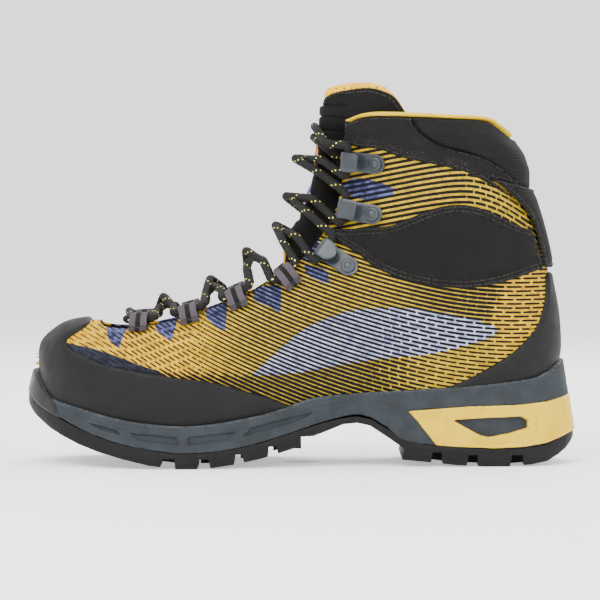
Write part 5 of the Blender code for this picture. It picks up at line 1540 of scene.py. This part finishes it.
def tail(side, upper):
    rows = TAIL_UPPER if upper else TAIL_LOWER
    return [one_point(u, part * throat_w(u), -side if far else side, lift) for u, part, lift, far in rows]


def through(frame, width, shift=(0.0, 0.0)):
    reach = width / 2 + CORNER_ROOM
    return [np.array(frame @ Vector((shift[0], shift[1], z))) for z in (-reach, reach)]


def rounded_route(points, trim=2.6, steps=7):
    """The line with its corners turned into short bends."""
    made = [points[0]]
    for before, here, after in zip(points, points[1:], points[2:]):
        a, b = before - here, after - here
        la, lb = np.linalg.norm(a), np.linalg.norm(b)
        start, end = here + a / la * min(trim, la * 0.45), here + b / lb * min(trim, lb * 0.45)
        for s in np.linspace(0, 1, steps):
            made.append(start * (1 - s) ** 2 + here * 2 * s * (1 - s) + end * s * s)
    made.append(points[-1])
    made = np.array(made)
    far = np.concatenate(([0], np.cumsum(np.linalg.norm(np.diff(made, axis=0), axis=1))))
    at = np.linspace(0, far[-1], int(far[-1] / 1.1))
    return np.column_stack([np.interp(at, far, made[:, k]) for k in range(3)]), at


def make_tube(name, line, at, radius, finish, sides=14, swell=None):
    """A cord along a line with a UV map: round it, then along it in millimetres."""
    way = unit(np.gradient(line, axis=0))
    normal = np.cross(way[0], (0.0, 0.0, 1.0))
    normal /= np.linalg.norm(normal)
    points, uv = [], []
    for i, (place, ahead) in enumerate(zip(line, way)):
        normal = normal - ahead * np.dot(normal, ahead)
        normal /= np.linalg.norm(normal)
        across = np.cross(ahead, normal)
        r = radius * (1.0 if swell is None else swell[i])
        for k in range(sides):
            angle = 2 * math.pi * k / sides
            points.append(place + (normal * math.cos(angle) + across * math.sin(angle)) * r)
            uv.append((k / sides, at[i]))
    faces, wraps = [], []
    for i in range(len(line) - 1):
        for k in range(sides):
            j = (k + 1) % sides
            faces.append((i * sides + k, i * sides + j, (i + 1) * sides + j, (i + 1) * sides + k))
            wraps.append(j == 0)
    faces += [tuple(range(sides))[::-1], tuple((len(line) - 1) * sides + k for k in range(sides))]
    fields = {"edge": np.full(len(points), EDGE_FREE)}
    obj = make_piece(name, points, faces, finish, body=None, fields=fields)
    layer = obj.data.uv_layers.new(name="UVMap")
    for polygon in obj.data.polygons:
        turn = polygon.index < len(wraps) and wraps[polygon.index]
        for loop in polygon.loop_indices:
            u, v = uv[obj.data.loops[loop].vertex_index]
            layer.data[loop].uv = (u + (1.0 if turn and u < 0.25 else 0.0), v)
    return obj


def make_lace(sizes, tones):
    frames = {}
    for name, side in SIDES:
        for i, (x, z, lean) in enumerate(LOOPS):
            frames[i, side] = through(loop_frame(x, z, lean, side), STRAP_WIDTH)
        for i, (x, z, lean, _) in enumerate(HOOKS):
            frame = hook_frame(x, z, lean, side)
            frames[len(LOOPS) + i, side] = through(frame, HOOK_WIDTH, (-HOOK_HALF, HOOK_LACE_HEIGHT))
    points = lace_route(frames)
    line, at = rounded_route(points)
    flat = 1 + 0.03 * np.sin(at * 1.3)
    obj = make_tube("braided_lace", line, at, sizes.lace_thickness / MM / 2, FINISH["lace"], swell=flat)
    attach(obj, "boot")
    stand_for("braided_lace", "lace", slot="lace_black")
    for name, ends in (("medial", points[1::-1]), ("lateral", points[-2:])):
        way = unit(ends[1] - ends[0])
        at = np.array((0, 0.2, 1, TIP_LENGTH - 1, TIP_LENGTH - 0.2, TIP_LENGTH))
        places = np.array([ends[1] + way * (GAP + s) for s in at])
        tip = make_tube("moulded_tip_" + name, places, at, 1.6, FINISH["tip"],
                        swell=(0.8, 0.95, 1, 1, 0.95, 0.7))
        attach(tip, "boot")
        stand_for(tip.name, "lace_tip_" + name, slot="tip_plastic")


def make_badge_and_keeper(sizes, tones):
    for station, half, node, name, finish in (
        (15.2, (5.2, 9.0), "tongue_badge", "copper_oval", "copper"),
        (12.75, (4.0, 5.0), "tongue_lace_keeper", "keeper_tab", "keeper"),
    ):
        u = np.array([station])
        point, normal = last_surface(u, np.array([1e-4]))
        up = unit(last_points(u + 0.1, 0.0) - last_points(u - 0.1, 0.0))[0]
        across = np.cross(normal[0], up)
        face = float(tongue_face(u, np.zeros(1))[0])
        place = point[0] + normal[0] * (face + 0.1 + 0.3)
        rows, sides = 9, 48
        points, faces, uv = [], [], []
        for r in range(rows):
            share = r / (rows - 1)
            for k in range(sides):
                angle = 2 * math.pi * k / sides
                c, s = math.cos(angle), math.sin(angle)
                if finish == "keeper":
                    c, s = np.sign(c) * abs(c) ** 0.25, np.sign(s) * abs(s) ** 0.25
                rise = 1.0 * math.sqrt(max(1 - share**4, 0)) + (0.25 if abs(share - 0.8) < 0.06 else 0)
                radius = max(share, 1e-3)
                aside, upward = across * c * half[0] * radius, up * s * half[1] * radius
                points.append(place + aside + upward + normal[0] * rise)
                uv.append((c * radius / 2 + 0.5, s * radius * half[1]))
        for r in range(rows - 1):
            for k in range(sides):
                j = (k + 1) % sides
                faces.append((r * sides + k, r * sides + j, (r + 1) * sides + j, (r + 1) * sides + k))
        count = len(points)
        for k in range(sides):
            points.append(points[(rows - 1) * sides + k] - normal[0] * 0.4)
            uv.append(uv[(rows - 1) * sides + k])
        for k in range(sides):
            j = (k + 1) % sides
            faces.append(((rows - 1) * sides + k, (rows - 1) * sides + j, count + j, count + k))
        faces += [tuple(range(sides)), tuple(count + k for k in range(sides))]
        facing_out(name, np.array(points), faces, FINISH[finish], np.array(uv))
        stand_for(name, node, slot="copper_badge" if finish == "copper" else "striped_strap")


# ---------------------------------------------------------------- stitches


def seam_points():
    """Where the stitches sit: place, the seam's direction and the surface's outward direction."""
    rows = []
    for sheet, levels, lift in STITCHED:
        ends = sheet.border()
        for level in levels:
            after = {}
            for a, b in ends:
                after[int(a)] = int(b)
            while after:
                first = next(iter(after))
                chain, here = [first], after.pop(first)
                while here in after:
                    chain.append(here)
                    here = after.pop(here)
                if len(chain) < 12:
                    continue
                place, normal = sheet.points[chain], sheet.normals[chain]
                way = unit(np.gradient(place, axis=0))
                inward = np.cross(normal, way)
                spots = place + inward * level + normal * lift
                far = np.concatenate(([0], np.cumsum(np.linalg.norm(np.diff(spots, axis=0), axis=1))))
                at = np.arange(1.5, far[-1] - 1.5, 2.6)
                pick = np.searchsorted(far, at)
                for k in pick:
                    rows.append((Vector(spots[k]), Vector(way[k]), Vector(normal[k])))
    return rows + STITCH_POINTS


def stitch_tree():
    """Short round-ended threads set on points, each turned along its seam."""
    tree = bpy.data.node_groups.new("sewn stitches", "GeometryNodeTree")
    tree.interface.new_socket("Seam", in_out="INPUT", socket_type="NodeSocketGeometry")
    for label, kind, default in (("Length", FLOAT, 0.0017), ("Thickness", FLOAT, 0.00028)):
        tree.interface.new_socket(label, in_out="INPUT", socket_type=kind).default_value = default
    tree.interface.new_socket("Finish", in_out="INPUT", socket_type="NodeSocketMaterial")
    tree.interface.new_socket("Stitches", in_out="OUTPUT", socket_type="NodeSocketGeometry")
    g = Graph(tree)
    entry, end = g.node("NodeGroupInput"), g.node("NodeGroupOutput")
    bead = g.node("GeometryNodeMeshCylinder")
    bead.inputs["Vertices"].default_value = 6
    g.feed(bead.inputs["Radius"], entry.outputs["Thickness"])
    g.feed(bead.inputs["Depth"], entry.outputs["Length"])
    way = g.node("GeometryNodeInputNamedAttribute", data_type="FLOAT_VECTOR")
    way.inputs["Name"].default_value = "seam_way"
    turn = g.node("FunctionNodeAlignRotationToVector", axis="Z")
    g.feed(turn.inputs["Vector"], way.outputs[0])
    put = g.node("GeometryNodeInstanceOnPoints")
    g.feed(put.inputs["Points"], entry.outputs["Seam"])
    g.feed(put.inputs["Instance"], bead.outputs["Mesh"])
    g.feed(put.inputs["Rotation"], turn.outputs[0])
    real = g.node("GeometryNodeRealizeInstances")
    g.feed(real.inputs[0], put.outputs[0])
    dress = g.node("GeometryNodeSetMaterial")
    g.feed(dress.inputs["Geometry"], real.outputs[0])
    g.feed(dress.inputs["Material"], entry.outputs["Finish"])
    g.feed(end.inputs["Stitches"], dress.outputs[0])
    return tree


def make_stitches(sizes, tones):
    rows = seam_points()
    if not rows:
        raise RuntimeError("no seams to sew")
    mesh = bpy.data.meshes.new("seam_points")
    mesh.from_pydata([tuple(np.array(p) * MM + SHIFT) for p, _, _ in rows], [], [])
    attribute = mesh.attributes.new("seam_way", "FLOAT_VECTOR", "POINT")
    attribute.data.foreach_set("vector", np.array([w for _, w, _ in rows], np.float32).ravel())
    obj = bpy.data.objects.new("sewn_stitches", mesh)
    bpy.context.scene.collection.objects.link(obj)
    tree = stitch_tree()
    sewn = obj.modifiers.new("stitches", "NODES")
    sewn.node_group = tree
    names = {item.name: item.identifier for item in tree.interface.items_tree if item.in_out == "INPUT"}
    sewn[names["Length"]] = float(sizes.stitch_length)
    sewn[names["Thickness"]] = 0.00026
    sewn[names["Finish"]] = FINISH["thread"]
    applied(obj)


# ---------------------------------------------------------------- the stage


def make_stage(sizes, tones):
    ground = float(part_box("outsole")[0].z) - 0.0002
    paper = bpy.data.materials.new("pale floor")
    paper.use_nodes = True
    shader = paper.node_tree.nodes["Principled BSDF"]
    shader.inputs["Base Color"].default_value = (0.9, 0.9, 0.9, 1)
    shader.inputs["Roughness"].default_value = 0.9
    shader.inputs["Emission Color"].default_value = (1, 1, 1, 1)
    shader.inputs["Emission Strength"].default_value = 0.55
    rings = [(0.01, 0.0), (4.0, 0.0)]
    rings += [(4.0 + 3.0 * math.sin(a), 3.0 - 3.0 * math.cos(a)) for a in np.linspace(0.1, math.pi / 2, 12)]
    bowl, faces = turned([*rings, (7.0, 9.0)], 64, Matrix.Rotation(math.pi / 2, 4, "X"))
    points = [(x, y, z + ground) for x, y, z in bowl]
    faces = faces[:-1]
    mesh = bpy.data.meshes.new("studio_floor")
    mesh.from_pydata(points, [], faces)
    mesh.materials.append(paper)
    mesh.shade_smooth()
    floor = bpy.data.objects.new("studio_floor", mesh)
    bpy.context.scene.collection.objects.link(floor)
    world = bpy.data.worlds.new("studio light")
    world.use_nodes = True
    world.node_tree.nodes["Background"].inputs[0].default_value = (1, 1, 1, 1)
    world.node_tree.nodes["Background"].inputs[1].default_value = sizes.room_light
    bpy.context.scene.world = world
    for name, place, size, power in (
        ("key_light", (-0.5, -0.9, 1.1), 0.9, 20.0), ("fill_light", (0.9, -1.2, 0.6), 1.2, 12.0),
        ("top_light", (0.0, 0.1, 1.5), 1.4, 16.0), ("rim_light", (0.3, 0.9, 0.9), 0.8, 10.0),
    ):
        lamp = bpy.data.lights.new(name, "AREA")
        lamp.shape, lamp.size, lamp.energy = "DISK", size, power * sizes.lamp_share
        obj = bpy.data.objects.new(name, lamp)
        obj.location = place
        obj.rotation_euler = (Vector((0, 0, 0.09)) - Vector(place)).to_track_quat("-Z", "Y").to_euler()
        bpy.context.scene.collection.objects.link(obj)
    aim = Vector((-0.0005, 0.003, 0.0893))
    lens = bpy.data.cameras.new("camera")
    lens.lens, lens.sensor_width = 200, 36
    camera = bpy.data.objects.new("camera", lens)
    rise = math.radians(2.0)
    camera.location = aim + Vector((0, -math.cos(rise), math.sin(rise))) * 1.848
    camera.rotation_euler = (aim - camera.location).to_track_quat("-Z", "Y").to_euler()
    bpy.context.scene.collection.objects.link(camera)
    bpy.context.scene.camera = camera


# ---------------------------------------------------------------- the add-on

FINISH, STITCHED, STITCH_POINTS = {}, [], []
SIDES = (("medial", 1), ("lateral", -1))


def length(label, meaning, value):
    return bpy.props.FloatProperty(
        name=label, description=meaning, default=value, unit="LENGTH", subtype="DISTANCE"
    )


def tone(label, meaning, value):
    return bpy.props.FloatVectorProperty(
        name=label, description=meaning, default=value, subtype="COLOR", size=4
    )


def strength(label, meaning, value):
    return bpy.props.FloatProperty(name=label, description=meaning, default=value)


class BootSizes(bpy.types.PropertyGroup):
    stripe_pitch: length("Stripe pitch", "Height of one row of the jacquard textile", 0.0023)
    rand_thickness: length("Rand thickness", "Rubber thickness over the toe", 0.0018)
    collar_fill: length("Collar fill", "How far the rear collar swells", 0.0046)
    lace_thickness: length("Lace thickness", "Diameter of the lace", 0.0045)
    stitch_length: length("Stitch length", "Length of one visible stitch", 0.0017)
    room_light: strength("Room light", "Strength of the room's light", 0.6)
    lamp_share: strength("Lamps", "Share of the lamps' full power", 1.0)


class BootTones(bpy.types.PropertyGroup):
    foam_low: tone("Foam, dark", "Darker tone of the midsole foam", colour(56, 61, 65))
    foam_high: tone("Foam, light", "Lighter tone of the midsole foam", colour(68, 74, 79))
    frame_low: tone("Frame, dark", "Darker tone of the heel frame", colour(214, 182, 0))
    frame_high: tone("Frame, light", "Lighter tone of the heel frame", colour(224, 194, 2))


class BootOperator:
    """Calls its own builder with the sizes and colours kept on the scene."""

    bl_options = {"REGISTER", "UNDO"}

    def execute(self, context):
        scene = context.scene
        if not FINISH:
            build_groups()
            tones = scene.boot_tones
            FINISH.update(build_finishes({key: tuple(getattr(tones, key)) for key in (
                "foam_low", "foam_high", "frame_low", "frame_high")}))
        type(self).build(scene.boot_sizes, scene.boot_tones)
        return {"FINISHED"}


class BOOT_OT_sole(BootOperator, bpy.types.Operator):
    """Midsole wall, heel frame, toe bumper and lugged tread"""

    bl_idname = "boot.sole"
    bl_label = "Sole"
    build = staticmethod(make_sole)


class BOOT_OT_inner(BootOperator, bpy.types.Operator):
    """Footbed, boards, shank and stiffeners"""

    bl_idname = "boot.inner"
    bl_label = "Inside"
    build = staticmethod(make_inner)


class BOOT_OT_upper(BootOperator, bpy.types.Operator):
    """Jacquard quarter and cuff"""

    bl_idname = "boot.upper"
    bl_label = "Textile upper"
    build = staticmethod(make_upper)


class BOOT_OT_rand(BootOperator, bpy.types.Operator):
    """Toe rand and heel cup"""

    bl_idname = "boot.rand"
    bl_label = "Rand"
    build = staticmethod(make_rand)


class BOOT_OT_panels(BootOperator, bpy.types.Operator):
    """Ankle panels and backstay"""

    bl_idname = "boot.panels"
    bl_label = "Ankle panels"
    build = staticmethod(make_ankle_panels)


class BOOT_OT_collar(BootOperator, bpy.types.Operator):
    """Padded collar, edge tape, lining and ankle padding"""

    bl_idname = "boot.collar"
    bl_label = "Collar"
    build = staticmethod(make_collar)


class BOOT_OT_tongue(BootOperator, bpy.types.Operator):
    """Quilted tongue and its liner"""

    bl_idname = "boot.tongue"
    bl_label = "Tongue"
    build = staticmethod(make_tongue)


class BOOT_OT_marks(BootOperator, bpy.types.Operator):
    """Plain oval badge and lace keeper on the tongue"""

    bl_idname = "boot.marks"
    bl_label = "Badge and keeper"
    build = staticmethod(make_badge_and_keeper)


class BOOT_OT_loops(BootOperator, bpy.types.Operator):
    """Webbing lace loops"""

    bl_idname = "boot.loops"
    bl_label = "Lace loops"
    build = staticmethod(make_loops)


class BOOT_OT_hooks(BootOperator, bpy.types.Operator):
    """Speed hooks with their rivets"""

    bl_idname = "boot.hooks"
    bl_label = "Hooks"
    build = staticmethod(make_hooks)


class BOOT_OT_lace(BootOperator, bpy.types.Operator):
    """Braided lace and its tips"""

    bl_idname = "boot.lace"
    bl_label = "Lace"
    build = staticmethod(make_lace)


class BOOT_OT_stitches(BootOperator, bpy.types.Operator):
    """Stitches along the seams"""

    bl_idname = "boot.stitches"
    bl_label = "Stitches"
    build = staticmethod(make_stitches)


class BOOT_OT_stage(BootOperator, bpy.types.Operator):
    """Floor, lamps and camera"""

    bl_idname = "boot.stage"
    bl_label = "Stage"
    build = staticmethod(make_stage)


OPERATORS = (
    BOOT_OT_sole, BOOT_OT_inner, BOOT_OT_upper, BOOT_OT_rand, BOOT_OT_panels, BOOT_OT_collar, BOOT_OT_tongue,
    BOOT_OT_marks, BOOT_OT_loops, BOOT_OT_hooks, BOOT_OT_lace, BOOT_OT_stitches, BOOT_OT_stage,
)


class BOOT_PT_sidebar(bpy.types.Panel):
    bl_label = "Mountaineering Boot"
    bl_idname = "BOOT_PT_sidebar"
    bl_space_type = "VIEW_3D"
    bl_region_type = "UI"
    bl_category = "Boot"

    def draw(self, context):
        for group in (context.scene.boot_sizes, context.scene.boot_tones):
            for key in group.__annotations__:
                self.layout.prop(group, key)
        for operator in OPERATORS:
            self.layout.operator(operator.bl_idname)


CLASSES = (BootSizes, BootTones, *OPERATORS, BOOT_PT_sidebar)


def register():
    for item in CLASSES:
        bpy.utils.register_class(item)
    bpy.types.Scene.boot_sizes = bpy.props.PointerProperty(type=BootSizes)
    bpy.types.Scene.boot_tones = bpy.props.PointerProperty(type=BootTones)


def unregister():
    del bpy.types.Scene.boot_tones
    del bpy.types.Scene.boot_sizes
    for item in reversed(CLASSES):
        bpy.utils.unregister_class(item)


def main():
    register()
    for operator in OPERATORS:
        getattr(bpy.ops.boot, operator.bl_idname.split(".")[1])()


if __name__ == "__main__":
    main()
